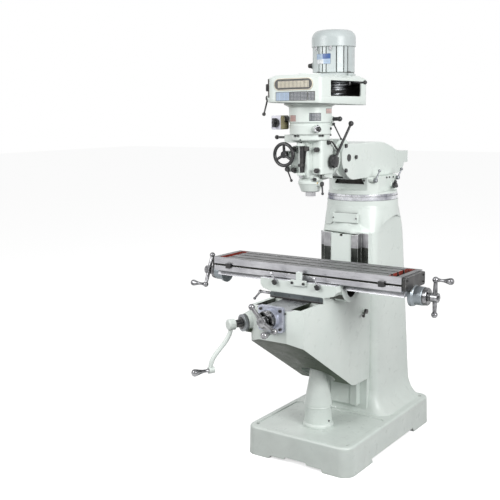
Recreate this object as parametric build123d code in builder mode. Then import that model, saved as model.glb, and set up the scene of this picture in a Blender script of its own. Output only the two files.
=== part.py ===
from build123d import *
from math import asin, cos, radians, sin, sqrt
import os

# Turret milling machine, millimetres. The origin is on the floor at the centre of the four
# anchor holes, +X is the operator's right, +Y runs back to the column, +Z is up.

# Base casting and column
base_width = 614
base_depth = 969
base_height = 150
base_corner = 62
foot_clearance = 28
anchor_spacing_x = 530
anchor_spacing_y = 840
anchor_radius = 9
tray_depth = 4
column_half_top = 163
column_half_foot = 187
column_loft_bottom = 270
column_loft_top = 1040
way_face_y = 12
way_half = 143
guide_half = 100
guide_face_y = -27
guide_bottom_z = 195
way_top_z = 1121
panel_half = 61
drum_y = 213
drum_radius = 190
drum_bottom_z = 1125
drum_top_z = 1284

# Turret, ram and ram adapter
ring_top_z = 1318
ring_radius = 187
turret_top_z = 1407.6
turret_radius = 184
turret_flange = 10
turret_half = 148
ram_half = 105
ram_top_z = 1588
ram_bottom_z = 1408
dovetail_bottom_z = 1372
nod_y = -136
nod_z = 1520
fork_half = 70
pivot_radius = 18
nod_bolt_circle = 70
adapter_rear_y = -218
head_face_y = -236
adapter_radius = 106
tongue_half = 62
fork_clearing_radius = 106
turret_front_y = 64
slot_gap = 0.25
dovetail_wide = 86
dovetail_narrow = 66
lock_seats = ((137, 77, 1392), (154, 305, 1393))
lock_tips = ((160, 93, 1442), (172, 331, 1437))
pinion_y = 258
pinion_z = 1358

# Head
spindle_y = -330
nose_z = 1342
quill_bottom_z = 1364
quill_radius = 43
quill_length = 274
spindle_radius = 22
spline_radius = 15
collet_radius = 12.05
drawbar_radius = 11
running_fit = 0.05
housing_radius = 54
housing_top_z = 1640
gear_flange_top_z = 1696
gear_top_z = 1783
belt_floor_z = 1797
belt_wall_top_z = 1905
belt_top_z = 1921
belt_right = 146
belt_left = -170
belt_front_y = -482
belt_rear_y = 25
belt_wall = 8
motor_y = -107
motor_top_z = 2144
cover_bottom_z = 2063
motor_radius = 109
pulley_bottom_z = 1811
pulley_step = 22
spindle_steps = (90, 78, 66, 54)
motor_steps = (52, 64, 76, 88)
belt_step = 1
feed_axis_y = -288
feed_axis_z = 1511
feed_boss_x = 92
clamp_x = 64
clamp_z = 50
wheel_x = -101
wheel_z = 1545
trip_x = -92
trip_z = 1474
rate_z = 1626
lock_x = 68
lock_y = -344
lock_z = 1404
stop_y = -419
stop_radius = 6
stop_nut_z = 1490
range_y = -284
back_gear_z = 1689
window_front_y = -388
window_rear_y = -88
window_low_z = 1820
window_high_z = 1892
tension_y = -172
tension_z = 1884
tension_x = 124
brake_x = -178
brake_y = -424
brake_z = 1816
groove_half = 7
groove_root_half = 2.5
groove_depth_belt = 11
belt_inset = 4.65
motor_shaft_radius = 12
motor_shaft_top_z = 2030
cover_round = 42
terminal_dir = (-0.92, -0.39, 0)
fin_groove_angles = (-138, -104, -92, -81, -53, -32, -19, 22, 34, 46, 66, 78, 90, 118, 130, 142, 166, 178)
switch_x = -126
switch_z = 1699

# Knee, saddle and table
knee_half = 148
knee_front_y = -672
knee_side_front_y = -636
knee_top_z = 842
ridge_half = 78
groove_outer = 128
groove_depth = 38
screw_y = -255
elevating_screw_radius = 20
elevating_screw_top_z = 700
elevating_screw_length = 525
crank_axis_angle = 25
crank_axis_z = 748
cross_axis_z = 800
crank_boss_end = 425
arm_drop = 207
arm_reach = 616
cross_ball = (-58, -758, 863)
cross_end = (68, -758, 764)
saddle_front_y = -455
saddle_rear_y = -196
saddle_half = 219
apron_half = 217
wing_root = 156
wing_radius = 103
slide_gap = 0.2
table_length = 1067
table_width = 229
table_y = -307.5
table_top_z = 1007
table_bottom_z = 936
dovetail_depth = 28
screw_channel_half = 27
trough_radius = 48
table_screw_z = 906
tee_slot_spacing = 63.5
tee_slot_width = 16
tee_slot_wide = 28
trough_inner = 462
trough_outer = 508
dovetail_top_half = 70
dovetail_bottom_half = 86
nut_half = 40
dog_z = 968
bracket_outer = 598
screw_half = 628
stub_radius = 9
right_hub = 648
left_hub = -660

# Crank grips
grip_pin_radius = 4.5
grip_pin_length = 52

os.makedirs("parts", exist_ok=True)

bottom_align = (Align.CENTER, Align.CENTER, Align.MIN)


def save(builder, name):
    builder.part.label = name
    export_step(builder.part, f"parts/{name}.step")


def turned(origin, axis, outline, mode=Mode.ADD):
    # Revolves a (radius, distance along the axis) outline about an axis through origin
    direction = Vector(*axis).normalized()
    guess = Vector(1, 0, 0) if abs(direction.X) < 0.9 else Vector(0, 1, 0)
    radial = (guess - direction * guess.dot(direction)).normalized()
    plane = Plane(origin=origin, x_dir=radial, z_dir=radial.cross(direction))
    with BuildSketch(plane) as section:
        with BuildLine():
            Polyline(*outline, close=True)
        make_face()
    revolve(section.sketch, axis=Axis(origin, direction), mode=mode)


def rod(start, end, radius, end_radius=None):
    axis = Vector(*end) - Vector(*start)
    with Locations(Plane(origin=start, z_dir=axis)):
        if end_radius is None:
            Cylinder(radius, axis.length, align=bottom_align)
        else:
            Cone(radius, end_radius, axis.length, align=bottom_align)


def block(x, y, z, mode=Mode.ADD):
    # Box between pairs of X, Y and Z limits
    center = ((x[0] + x[1]) / 2, (y[0] + y[1]) / 2, (z[0] + z[1]) / 2)
    with Locations(center):
        Box(x[1] - x[0], y[1] - y[0], z[1] - z[0], mode=mode)


def arm(start, tip, radius, end_radius, ball_radius):
    # A tapered round arm with a ball at its tip, turned as one outline
    axis = Vector(*tip) - Vector(*start)
    direction = axis.normalized()
    guess = Vector(1, 0, 0) if abs(direction.X) < 0.9 else Vector(0, 1, 0)
    radial = (guess - direction * guess.dot(direction)).normalized()
    neck = axis.length - sqrt(ball_radius**2 - end_radius**2)
    with BuildSketch(Plane(origin=start, x_dir=radial, z_dir=radial.cross(direction))) as section:
        with BuildLine():
            Polyline((0, 0), (radius, 0), (end_radius, neck))
            ThreePointArc((end_radius, neck), (ball_radius, axis.length), (0, axis.length + ball_radius))
            Line((0, axis.length + ball_radius), (0, 0))
        make_face()
    revolve(section.sketch, axis=Axis(start, direction))


def side_profile(points, half, mode=Mode.ADD):
    # Extrudes a closed (y, z) outline to both sides of the machine's centre plane
    with BuildSketch(Plane.YZ) as section:
        with BuildLine():
            Polyline(*points, close=True)
        make_face()
    extrude(section.sketch, amount=half, both=True, mode=mode)


def lever(hub, hub_axis, hub_radius, hub_length, tip, rod_radius, ball_radius):
    # A hub disc along hub_axis with a round arm and a ball at the tip
    axis = Vector(*hub_axis).normalized()
    end = Vector(*hub) + axis * hub_length
    root = Vector(*hub) + axis * (hub_length / 2)
    rod(hub, tuple(end), hub_radius)
    arm(tuple(root), tip, rod_radius, rod_radius * 0.85, ball_radius)


def grip(start, axis, length, belly):
    # A turned machine grip: a collar, a waist and a swelling handle with a pin hole
    plane_axis = Vector(*axis).normalized()
    guess = Vector(1, 0, 0) if abs(plane_axis.X) < 0.9 else Vector(0, 1, 0)
    radial = (guess - plane_axis * guess.dot(plane_axis)).normalized()
    plane = Plane(origin=start, x_dir=radial, z_dir=radial.cross(plane_axis))
    pin = grip_pin_radius + running_fit
    with BuildSketch(plane) as section:
        with BuildLine():
            Line((pin, 0), (belly * 0.72, 0))
            Spline(
                (belly * 0.72, 0),
                (belly * 0.55, length * 0.14),
                (belly, length * 0.62),
                (belly * 0.62, length),
                tangents=((-0.6, 1), (-1, 0.5)),
            )
            Polyline((belly * 0.62, length), (0, length), (0, grip_pin_length + 1))
            Polyline((0, grip_pin_length + 1), (pin, grip_pin_length + 1), (pin, 0))
        make_face()
    revolve(section.sketch, axis=Axis(start, plane_axis))


# Base casting: plinth on corner feet, flared column, drum top and ground ways
def column_section(z, half, front, rear, radius):
    with BuildSketch(Plane.XY.offset(z)) as section:
        with Locations((0, (front + rear) / 2)):
            RectangleRounded(2 * half, rear - front, radius)
    return section.sketch


def side_arch(x, reach, rise):
    # Arched outline of the flat column side where it runs up under the drum
    with BuildSketch(Plane.YZ.offset(x)) as section:
        with Locations((250, way_top_z)):
            Ellipse(reach, rise)
    return section.sketch


with BuildPart() as column_base:
    with BuildSketch():
        RectangleRounded(base_width, base_depth, base_corner)
    extrude(amount=base_height, taper=2)
    fillet(column_base.edges().group_by(Axis.Z)[-1], 12)
    with BuildSketch(Plane.XY.offset(base_height)):
        with Locations((0, -238)):
            RectangleRounded(540, 430, 34)
    extrude(amount=-tray_depth, mode=Mode.SUBTRACT)
    column_foot = column_section(column_loft_bottom, column_half_foot, 36, 464, 45)
    loft(sections=[
        column_section(base_height - 6, 276, 6, 466, 60), column_section(176, 226, 14, 466, 56),
        column_section(215, 200, 24, 466, 50), column_foot])
    column_shoulder = column_section(column_loft_top, column_half_top, 36, 418, 45)
    loft(sections=[column_foot, column_shoulder])
    column_neck = column_section(drum_bottom_z, column_half_top, 30, 416, 60)
    loft(sections=[column_shoulder, column_neck])
    rim_half = drum_radius - 5
    drum_rim = column_section(drum_top_z - 2, rim_half, drum_y - rim_half, drum_y + rim_half, rim_half - 1)
    loft(sections=[column_neck, drum_rim])
    with Locations((0, drum_y, drum_bottom_z - 5)):
        Cone(drum_radius + 3, drum_radius, drum_top_z - drum_bottom_z + 5, align=bottom_align)
    for side in (1, -1):
        inner_arch = side_arch(side * column_half_top, 150, 66)
        outer_arch = side_arch(side * (column_half_top + 45), 172, 88)
        loft(sections=[inner_arch, outer_arch], mode=Mode.SUBTRACT)
    block((-way_half, way_half), (way_face_y, 110), (base_height - 6, way_top_z))
    fillet(column_base.edges().filter_by(Axis.Z).filter_by(
        lambda e: abs(abs(e.center().X) - way_half) < 1 and abs(e.center().Y - way_face_y) < 1), 5)
    block((-guide_half, guide_half), (guide_face_y, way_face_y + 5), (guide_bottom_z, way_top_z))
    block((-panel_half, panel_half), (guide_face_y - 1, guide_face_y + 4),
          (guide_bottom_z - 1, way_top_z), mode=Mode.SUBTRACT)
    lip_start = radians(-115)
    with BuildSketch(Plane(origin=(0, drum_y, 0), x_dir=(cos(lip_start), sin(lip_start), 0),
                           z_dir=(sin(lip_start), -cos(lip_start), 0))) as way_lip:
        with BuildLine():
            Polyline((170, way_top_z - 6), (235, way_top_z - 6), (236, 1130), (230, 1138), (204, 1158),
                     (195, 1178), (170, 1190), close=True)
        make_face()
    revolve(way_lip.sketch, axis=Axis((0, drum_y, 0), (0, 0, 1)), revolution_arc=50)
    block((-70, 76), (11, 70), (1172, 1222))
    with Locations((0, guide_face_y + 4, way_top_z - 9)):
        Cylinder(7, 24, rotation=(90, 0, 0), mode=Mode.SUBTRACT)
    with Locations((0, screw_y, 30)):
        Cylinder(elevating_screw_radius + 3, 200, align=bottom_align, mode=Mode.SUBTRACT)
    side_profile(((-232, -1), (-246, foot_clearance - 4), (246, foot_clearance - 4), (260, -1)),
                 base_width, mode=Mode.SUBTRACT)
    with BuildSketch(Plane.XZ):
        with BuildLine():
            Polyline((-160, -1), (-150, 16), (-68, 16), (-60, foot_clearance),
                     (60, foot_clearance), (68, 16), (150, 16), (160, -1), close=True)
        make_face()
    extrude(amount=base_depth, both=True, mode=Mode.SUBTRACT)
    with GridLocations(anchor_spacing_x, anchor_spacing_y, 2, 2):
        Cylinder(anchor_radius, 3 * base_height, mode=Mode.SUBTRACT)
save(column_base, "column_base")

pedestal_foot_z = base_height - tray_depth
with BuildPart() as knee_screw_pedestal:
    bore = elevating_screw_radius + running_fit * 4
    turned((0, screw_y, 0), (0, 0, 1), (
        (bore, pedestal_foot_z), (80, pedestal_foot_z), (80, pedestal_foot_z + 11),
        (76, pedestal_foot_z + 17), (72, pedestal_foot_z + 20), (72, 266), (47, 400),
        (44, 440), (44, 464), (40, 470), (bore, 470)))
save(knee_screw_pedestal, "knee_screw_pedestal")

with BuildPart() as turret_scale_ring:
    turned((0, drum_y, 0), (0, 0, 1), (
        (120, drum_top_z), (ring_radius - 2, drum_top_z), (ring_radius, drum_top_z + 2),
        (ring_radius, ring_top_z - 2), (ring_radius - 2, ring_top_z), (120, ring_top_z)))
save(turret_scale_ring, "turret_scale_ring")

# Turret with the dovetail slot for the ram, its two lock levers and the ram pinion knob
with BuildPart() as turret:
    with Locations((0, drum_y, ring_top_z)):
        Cylinder(turret_radius, turret_flange, align=bottom_align)
    with BuildSketch(Plane.XY.offset(ring_top_z + 2)) as turret_plan:
        with Locations((0, drum_y)):
            Circle(turret_radius - 2)
            Rectangle(2 * turret_half, 2 * turret_radius, mode=Mode.INTERSECT)
        fillet(turret_plan.vertices(), 10)
    extrude(amount=turret_top_z - ring_top_z - 2)
    block((-200, 200), (0, turret_front_y), (1340, turret_top_z + 1), mode=Mode.SUBTRACT)
    fillet(turret.edges().filter_by(Axis.Z).filter_by(
        lambda e: abs(e.center().Y - turret_front_y) < 1), 12)
    with BuildSketch(Plane.XZ):
        with BuildLine():
            Polyline((-dovetail_wide - slot_gap, dovetail_bottom_z - 0.6),
                     (dovetail_wide + slot_gap, dovetail_bottom_z - 0.6),
                     (dovetail_wide + slot_gap, dovetail_bottom_z + 4),
                     (dovetail_narrow + slot_gap, ram_bottom_z + 2),
                     (-dovetail_narrow - slot_gap, ram_bottom_z + 2),
                     (-dovetail_wide - slot_gap, dovetail_bottom_z + 4), close=True)
        make_face()
    extrude(amount=600, both=True, mode=Mode.SUBTRACT)
    for x, y, z in lock_seats:
        rod((x - 26, y, z), (x, y, z), 12)
    turned((turret_half - 20, pinion_y, pinion_z), (1, 0, 0), ((0, 0), (17, 0), (17, 24), (14, 30), (0, 30)))
    for seat in lock_seats:
        with Locations(seat):
            Cylinder(8 + running_fit, 44, rotation=(0, 90, 0), mode=Mode.SUBTRACT)
    with Locations((turret_half, pinion_y, pinion_z)):
        Cylinder(9 + running_fit, 40, rotation=(0, 90, 0), mode=Mode.SUBTRACT)
save(turret, "turret")

for name, seat, tip in (("ram_lock_lever_front", lock_seats[0], lock_tips[0]),
                        ("ram_lock_lever_rear", lock_seats[1], lock_tips[1])):
    with BuildPart() as ram_lock_lever:
        rod((seat[0] - 20, seat[1], seat[2]), (seat[0] + 18, seat[1], seat[2]), 8)
        turned((seat[0] + 0.4, seat[1], seat[2]), (1, 0, 0), ((0, 0), (11, 0), (11, 14), (8, 18), (0, 18)))
        arm((seat[0] + 9, seat[1], seat[2]), tip, 5, 4, 8)
    save(ram_lock_lever, name)

with BuildPart() as ram_pinion_knob:
    rod((turret_half - 18, pinion_y, pinion_z), (turret_half + 24, pinion_y, pinion_z), 9)
    turned((turret_half + 12, pinion_y, pinion_z), (1, 0, 0), ((0, 0), (12, 0), (12, 16), (8, 22), (0, 22)))
    for angle in (90, 210, 330):
        tip = (turret_half + 24, pinion_y + 16 * cos(radians(angle)), pinion_z + 16 * sin(radians(angle)))
        arm((turret_half + 24, pinion_y, pinion_z), tip, 6, 6, 9)
save(ram_pinion_knob, "ram_pinion_knob")

# Ram: dovetailed overarm with a fork for the adapter and a stepped tail
with BuildPart() as ram:
    with BuildSketch(Plane.YZ):
        with BuildLine():
            ThreePointArc((nod_y - 40, ram_top_z), (nod_y - 70, nod_z), (nod_y - 34, 1449))
            Spline((nod_y - 34, 1449), (nod_y + 4, 1421), (nod_y + 60, ram_bottom_z),
                   tangents=((0.8, -0.75), (1, 0)))
            Polyline((nod_y + 60, ram_bottom_z), (430, ram_bottom_z), (487, 1434), (504, 1463),
                     (549, 1463), (549, 1527), (430, 1527), (404, 1536))
            Spline((404, 1536), (300, 1570), (205, ram_top_z), tangents=((-1, 0.36), (-1, 0.1)))
            Line((205, ram_top_z), (nod_y - 40, ram_top_z))
        make_face()
    extrude(amount=ram_half, both=True)
    with BuildSketch(Plane.XZ):
        with Locations((0, 1400)):
            RectangleRounded(2 * ram_half, 2 * (ram_top_z - 1400), 7)
    extrude(amount=700, both=True, mode=Mode.INTERSECT)
    block((-fork_half, fork_half), (nod_y - 100, nod_y + 10), (1400, 1600), mode=Mode.SUBTRACT)
    with Locations((0, nod_y, nod_z)):
        Cylinder(fork_clearing_radius, 2 * fork_half, rotation=(0, 90, 0), mode=Mode.SUBTRACT)
    with BuildSketch(Plane.XZ.offset(-86)):
        with BuildLine():
            Polyline((-dovetail_wide, dovetail_bottom_z), (dovetail_wide, dovetail_bottom_z),
                     (dovetail_wide, dovetail_bottom_z + 4), (dovetail_narrow, ram_bottom_z + 2),
                     (-dovetail_narrow, ram_bottom_z + 2), (-dovetail_wide, dovetail_bottom_z + 4),
                     close=True)
        make_face()
    extrude(amount=-344)
    with Locations((0, nod_y, nod_z)):
        Cylinder(pivot_radius, 3 * ram_half, rotation=(0, 90, 0), mode=Mode.SUBTRACT)
save(ram, "ram")

with BuildPart() as nod_bolts:
    rod((-ram_half - 3, nod_y, nod_z), (ram_half + 3, nod_y, nod_z), pivot_radius)
    for side in (1, -1):
        for angle in (0, 120, 240):
            y = nod_y + nod_bolt_circle * cos(radians(angle))
            z = nod_z + nod_bolt_circle * sin(radians(angle))
            with BuildSketch(Plane.YZ.offset(side * ram_half)):
                with Locations((y, z)):
                    RegularPolygon(11, 6)
            extrude(amount=side * 8)
save(nod_bolts, "nod_bolts")

# Ram adapter: tongue in the fork, neck and round swivel flange for the head
with BuildPart() as ram_adapter:
    with Locations((0, nod_y, nod_z)):
        Cylinder(94, 2 * fork_half - 1, rotation=(0, 90, 0))
    side_profile(((nod_y, nod_z + 78), (adapter_rear_y, nod_z + tongue_half),
                  (adapter_rear_y, nod_z - tongue_half), (nod_y, nod_z - 78)), fork_half - 0.5)
    turned((0, head_face_y, nod_z), (0, 1, 0), (
        (0, 0), (adapter_radius, 0), (adapter_radius, 12), (adapter_radius - 4, 18), (0, 18)))
    with Locations((0, nod_y, nod_z)):
        Cylinder(pivot_radius + running_fit, 300, rotation=(0, 90, 0), mode=Mode.SUBTRACT)
    with Locations((0, head_face_y, nod_z)):
        Cylinder(24, 60, rotation=(90, 0, 0), mode=Mode.SUBTRACT)
save(ram_adapter, "ram_adapter")

# Quill housing: bored barrel, swivel flange, clamp bosses and feed bosses
with BuildPart() as quill_housing:
    turned((0, spindle_y, 0), (0, 0, 1), (
        (0, quill_bottom_z + 2), (45, quill_bottom_z + 2), (47, quill_bottom_z + 5), (59, 1401),
        (61, 1404), (61, 1413), (housing_radius, 1427), (housing_radius, 1598), (92, 1614),
        (94, 1618), (94, housing_top_z), (0, housing_top_z)))
    with BuildSketch(Plane.XY.offset(1452)):
        with Locations((28, -311)):
            RectangleRounded(120, 122, 20)
    extrude(amount=160)
    with BuildSketch(Plane.XY.offset(1603)):
        with Locations((-63, -335)):
            RectangleRounded(108, 110, 14)
    extrude(amount=housing_top_z - 1603)
    side_profile(((spindle_y, 1440), (head_face_y - 14, 1424), (head_face_y - 14, 1612),
                  (spindle_y, 1600)), 78)
    turned((0, head_face_y, nod_z), (0, -1, 0), (
        (0, 0), (104, 0), (104, 10), (100, 15), (0, 15)))
    block((-150, 150), (head_face_y, head_face_y + 80), (1300, 1700), mode=Mode.SUBTRACT)
    turned((0, head_face_y, nod_z), (0, 1, 0), (
        (0, -4), (24 - running_fit, -4), (24 - running_fit, 22), (0, 22)))
    for x in (clamp_x, -clamp_x):
        for z in (nod_z + clamp_z, nod_z - clamp_z):
            rod((x, head_face_y - 10, z), (x, -372, z), 17)
    rod((0, feed_axis_y, feed_axis_z), (feed_boss_x, feed_axis_y, feed_axis_z), 29)
    rod((wheel_x, -290, wheel_z), (wheel_x, -394, wheel_z), 18)
    block((wheel_x, -40), (-352, -292), (1464, 1569))
    rod((trip_x, -300, trip_z), (trip_x, -390, trip_z), 15)
    block((-24, 24), (-400, -360), (1436, 1604))
    for z in (1448, 1588):
        block((-13, 13), (stop_y - 12, -398), (z, z + 13))
    rod((46, lock_y, lock_z), (lock_x, lock_y, lock_z), 14)
    with Locations((0, spindle_y, 0)):
        Cylinder(quill_radius + running_fit, 4000, mode=Mode.SUBTRACT)
    with Locations((feed_boss_x, feed_axis_y, feed_axis_z)):
        Cylinder(12 + running_fit, 60, rotation=(0, 90, 0), mode=Mode.SUBTRACT)
    with Locations((wheel_x, -394, wheel_z)):
        Cylinder(9 + running_fit, 60, rotation=(90, 0, 0), mode=Mode.SUBTRACT)
    with Locations((trip_x, -390, trip_z)):
        Cylinder(7 + running_fit, 40, rotation=(90, 0, 0), mode=Mode.SUBTRACT)
    with Locations((-117, spindle_y, rate_z)):
        Cylinder(6 + running_fit, 90, rotation=(0, 90, 0), mode=Mode.SUBTRACT)
    with Locations((0, stop_y, 1520)):
        Cylinder(stop_radius, 200, mode=Mode.SUBTRACT)
    with Locations((lock_x, lock_y, lock_z)):
        Cylinder(6 + running_fit, 32, rotation=(0, 90, 0), mode=Mode.SUBTRACT)
save(quill_housing, "quill_housing")

with BuildPart() as head_clamp_nuts:
    for x in (clamp_x, -clamp_x):
        for z in (nod_z + clamp_z, nod_z - clamp_z):
            with BuildSketch(Plane.XZ.offset(372)):
                with Locations((x, z)):
                    RegularPolygon(12.5, 6)
            extrude(amount=15)
            rod((x, -387, z), (x, -391, z), 7)
save(head_clamp_nuts, "head_clamp_nuts")

# Gear housing: stepped drum between the quill housing and the belt housing
reverse_angle = radians(-43)
reverse_dir = (cos(reverse_angle), sin(reverse_angle), 0)
with BuildPart() as gear_housing:
    turned((0, spindle_y, 0), (0, 0, 1), (
        (spline_radius + 1, housing_top_z), (97, housing_top_z), (100, housing_top_z + 4),
        (101, gear_flange_top_z - 10), (97, gear_flange_top_z - 5), (99, gear_flange_top_z),
        (103, gear_flange_top_z + 4), (103, gear_top_z - 14), (108, gear_top_z - 9), (127, gear_top_z),
        (127, belt_floor_z), (30 + running_fit, belt_floor_z), (30 + running_fit, belt_floor_z - 26),
        (spline_radius + 1, belt_floor_z - 26)))
    reverse_seat = (95 * reverse_dir[0], spindle_y + 95 * reverse_dir[1], 1668)
    turned(reverse_seat, reverse_dir, ((0, 0), (19, 0), (19, 16), (16, 20), (0, 20)))
    turned((80, range_y, 1713), (1, 0, 0), ((0, 0), (14, 0), (14, 20), (0, 20)))
    turned((76, range_y, back_gear_z), (1, 0, 0), ((0, 0), (9, 0), (9, 22), (0, 22)))
    turned(reverse_seat, reverse_dir, ((0, -22), (8 + running_fit, -22), (8 + running_fit, 30), (0, 30)),
           mode=Mode.SUBTRACT)
    with Locations((100, range_y, 1713)):
        Cylinder(9 + running_fit, 40, rotation=(0, 90, 0), mode=Mode.SUBTRACT)
    with Locations((98, range_y, back_gear_z)):
        Cylinder(4 + running_fit, 24, rotation=(0, 90, 0), mode=Mode.SUBTRACT)
save(gear_housing, "gear_housing")

# Belt housing: a thin shell with a window each side, open round the spindle and motor shafts


def belt_outline(z, inset):
    # Rounded plan of the belt housing at a height, drawn in by a distance
    left = belt_left + inset
    right = belt_right - inset
    front = belt_front_y + inset
    rear = belt_rear_y - inset
    nose = 58 - inset
    corner = 24 - min(inset, 16)
    back = 84 - inset
    with BuildSketch(Plane.XY.offset(z)) as section:
        with BuildLine():
            Line((left + nose, front), (right - corner, front))
            RadiusArc((right - corner, front), (right, front + corner), -corner)
            Line((right, front + corner), (right, rear - back))
            RadiusArc((right, rear - back), (right - back, rear), -back)
            Line((right - back, rear), (left + back, rear))
            RadiusArc((left + back, rear), (left, rear - back), -back)
            Line((left, rear - back), (left, front + nose))
            RadiusArc((left, front + nose), (left + nose, front), -nose)
        make_face()
    return section.sketch


with BuildPart() as belt_housing:
    extrude(belt_outline(belt_floor_z, 0), amount=belt_wall_top_z - belt_floor_z)
    fillet(belt_housing.edges().group_by(Axis.Z)[0], 13)
    loft(sections=[belt_outline(belt_wall_top_z, 0), belt_outline(belt_top_z, 34)])
    rod((brake_x + 14, brake_y, brake_z), (brake_x, brake_y, brake_z), 13)
    extrude(belt_outline(belt_floor_z + belt_wall, belt_wall),
            amount=belt_wall_top_z - belt_floor_z - belt_wall, mode=Mode.SUBTRACT)
    loft(sections=[belt_outline(belt_wall_top_z, belt_wall), belt_outline(belt_top_z - belt_wall, 32)],
         mode=Mode.SUBTRACT)
    with BuildSketch(Plane.YZ):
        with Locations(((window_front_y + window_rear_y) / 2, (window_low_z + window_high_z) / 2)):
            RectangleRounded(window_rear_y - window_front_y, window_high_z - window_low_z, 6)
    extrude(amount=2 * belt_right, both=True, mode=Mode.SUBTRACT)
    with Locations((0, spindle_y, belt_floor_z - 5)):
        Cylinder(36, 40, align=bottom_align, mode=Mode.SUBTRACT)
    with Locations((0, spindle_y, belt_top_z - 20)):
        Cylinder(40, 40, align=bottom_align, mode=Mode.SUBTRACT)
    with Locations((0, motor_y, belt_top_z - 20)):
        Cylinder(60, 40, align=bottom_align, mode=Mode.SUBTRACT)
    rod((tension_x, tension_y, tension_z - 9), (tension_x, tension_y, 1912), 5)
    with Locations((brake_x, brake_y, brake_z)):
        Cylinder(6 + running_fit, 26, rotation=(0, 90, 0), mode=Mode.SUBTRACT)
save(belt_housing, "belt_housing")

with BuildPart() as spindle_cap:
    turned((0, spindle_y, 0), (0, 0, 1), (
        (9, belt_top_z - 6), (40, belt_top_z - 6), (40, belt_top_z), (58, belt_top_z),
        (58, belt_top_z + 4), (54, belt_top_z + 8), (9, belt_top_z + 8)))
save(spindle_cap, "spindle_cap")

# Step pulleys with a groove in each step, and the belt on one pair of steps


def stepped_rim(steps):
    rim = []
    for index, radius in enumerate(steps):
        low = pulley_bottom_z + index * pulley_step
        middle = low + pulley_step / 2
        rim += [(radius, low), (radius, middle - groove_half)]
        rim += [(radius - groove_depth_belt, middle - groove_root_half)]
        rim += [(radius - groove_depth_belt, middle + groove_root_half)]
        rim += [(radius, middle + groove_half), (radius, low + pulley_step)]
    return rim


pulley_top_z = pulley_bottom_z + pulley_step * len(spindle_steps)
with BuildPart() as spindle_pulley:
    hub_bottom = belt_floor_z - 24
    bore = spline_radius + running_fit
    turned((0, spindle_y, 0), (0, 0, 1), (
        (bore, hub_bottom), (30, hub_bottom), (30, pulley_bottom_z),
        *stepped_rim(spindle_steps), (bore, pulley_top_z)))
save(spindle_pulley, "spindle_pulley")

with BuildPart() as motor_pulley:
    shaft_bottom = belt_floor_z + belt_wall + 4
    turned((0, motor_y, 0), (0, 0, 1), (
        (0, shaft_bottom), (motor_shaft_radius, shaft_bottom), (motor_shaft_radius, pulley_bottom_z),
        *stepped_rim(motor_steps), (motor_shaft_radius, pulley_top_z),
        (motor_shaft_radius, motor_shaft_top_z), (0, motor_shaft_top_z)))
save(motor_pulley, "motor_pulley")

big_radius = spindle_steps[belt_step] - belt_inset
small_radius = motor_steps[belt_step] - belt_inset
shaft_distance = motor_y - spindle_y
belt_lean = asin((big_radius - small_radius) / shaft_distance)
lean_cos = cos(belt_lean)
lean_sin = sin(belt_lean)
belt_z = pulley_bottom_z + (belt_step + 0.5) * pulley_step
spindle_side = (big_radius * lean_cos, spindle_y + big_radius * lean_sin, belt_z)
motor_side = (small_radius * lean_cos, motor_y + small_radius * lean_sin, belt_z)
motor_far = (-motor_side[0], motor_side[1], belt_z)
spindle_far = (-spindle_side[0], spindle_side[1], belt_z)
with BuildPart() as v_belt:
    with BuildLine() as belt_path:
        Line(spindle_side, motor_side)
        ThreePointArc(motor_side, (0, motor_y + small_radius, belt_z), motor_far)
        Line(motor_far, spindle_far)
        ThreePointArc(spindle_far, (0, spindle_y - big_radius, belt_z), spindle_side)
    outward = (lean_cos, lean_sin, 0)
    along = (-lean_sin, lean_cos, 0)
    with BuildSketch(Plane(origin=spindle_side, x_dir=outward, z_dir=along)):
        with BuildLine():
            Polyline((4.35, 6.3), (4.35, -6.3), (-4.35, -2.9), (-4.35, 2.9), close=True)
        make_face()
    sweep(path=belt_path.wires()[0])
save(v_belt, "v_belt")

# Motor: flange, finned body and domed fan cover
with BuildPart() as motor_body:
    turned((0, motor_y, 0), (0, 0, 1), (
        (motor_shaft_radius + 0.1, belt_top_z), (109, belt_top_z), (109, belt_top_z + 9),
        (100, belt_top_z + 15), (104, belt_top_z + 18), (104, cover_bottom_z), (104.5, cover_bottom_z),
        (104.5, cover_bottom_z + 8), (20, cover_bottom_z + 8), (20, motor_shaft_top_z + 6),
        (motor_shaft_radius + 0.1, motor_shaft_top_z + 6)))
    groove_z = (belt_top_z + cover_bottom_z) / 2 + 7
    for angle in fin_groove_angles:
        middle = (102 * cos(radians(angle)), motor_y + 102 * sin(radians(angle)), groove_z)
        with Locations(Location(middle, (0, 0, angle))):
            Box(22, 5, cover_bottom_z - belt_top_z - 18, mode=Mode.SUBTRACT)
    with Locations((0, motor_y, belt_top_z)):
        with PolarLocations(106, 4, start_angle=-15):
            Box(22, 30, 12, align=bottom_align)
    rod((0, motor_y, 1975), (106 * terminal_dir[0], motor_y + 106 * terminal_dir[1], 1975), 17)
    with Locations((0, motor_y, belt_top_z)):
        Cylinder(motor_shaft_radius + 0.1, 2 * (motor_shaft_top_z + 6 - belt_top_z), mode=Mode.SUBTRACT)
save(motor_body, "motor_body")

with BuildPart() as motor_fan_cover:
    with Locations((0, motor_y, cover_bottom_z)):
        Cylinder(motor_radius, motor_top_z - cover_bottom_z, align=bottom_align)
    fillet(motor_fan_cover.edges().group_by(Axis.Z)[-1], cover_round)
    with BuildSketch(Plane.XY.offset(cover_bottom_z)):
        with Locations((0, motor_y)):
            Circle(104.7)
    extrude(amount=motor_top_z - cover_bottom_z - cover_round, mode=Mode.SUBTRACT)
    with BuildSketch(Plane.XY.offset(motor_top_z - cover_round)):
        with Locations((0, motor_y)):
            Circle(104.7)
    extrude(amount=cover_round - 5, taper=45, mode=Mode.SUBTRACT)
    with Locations((0, motor_y, motor_top_z)):
        with PolarLocations(46, 14):
            Box(38, 7, 24, mode=Mode.SUBTRACT)
save(motor_fan_cover, "motor_fan_cover")

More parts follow.
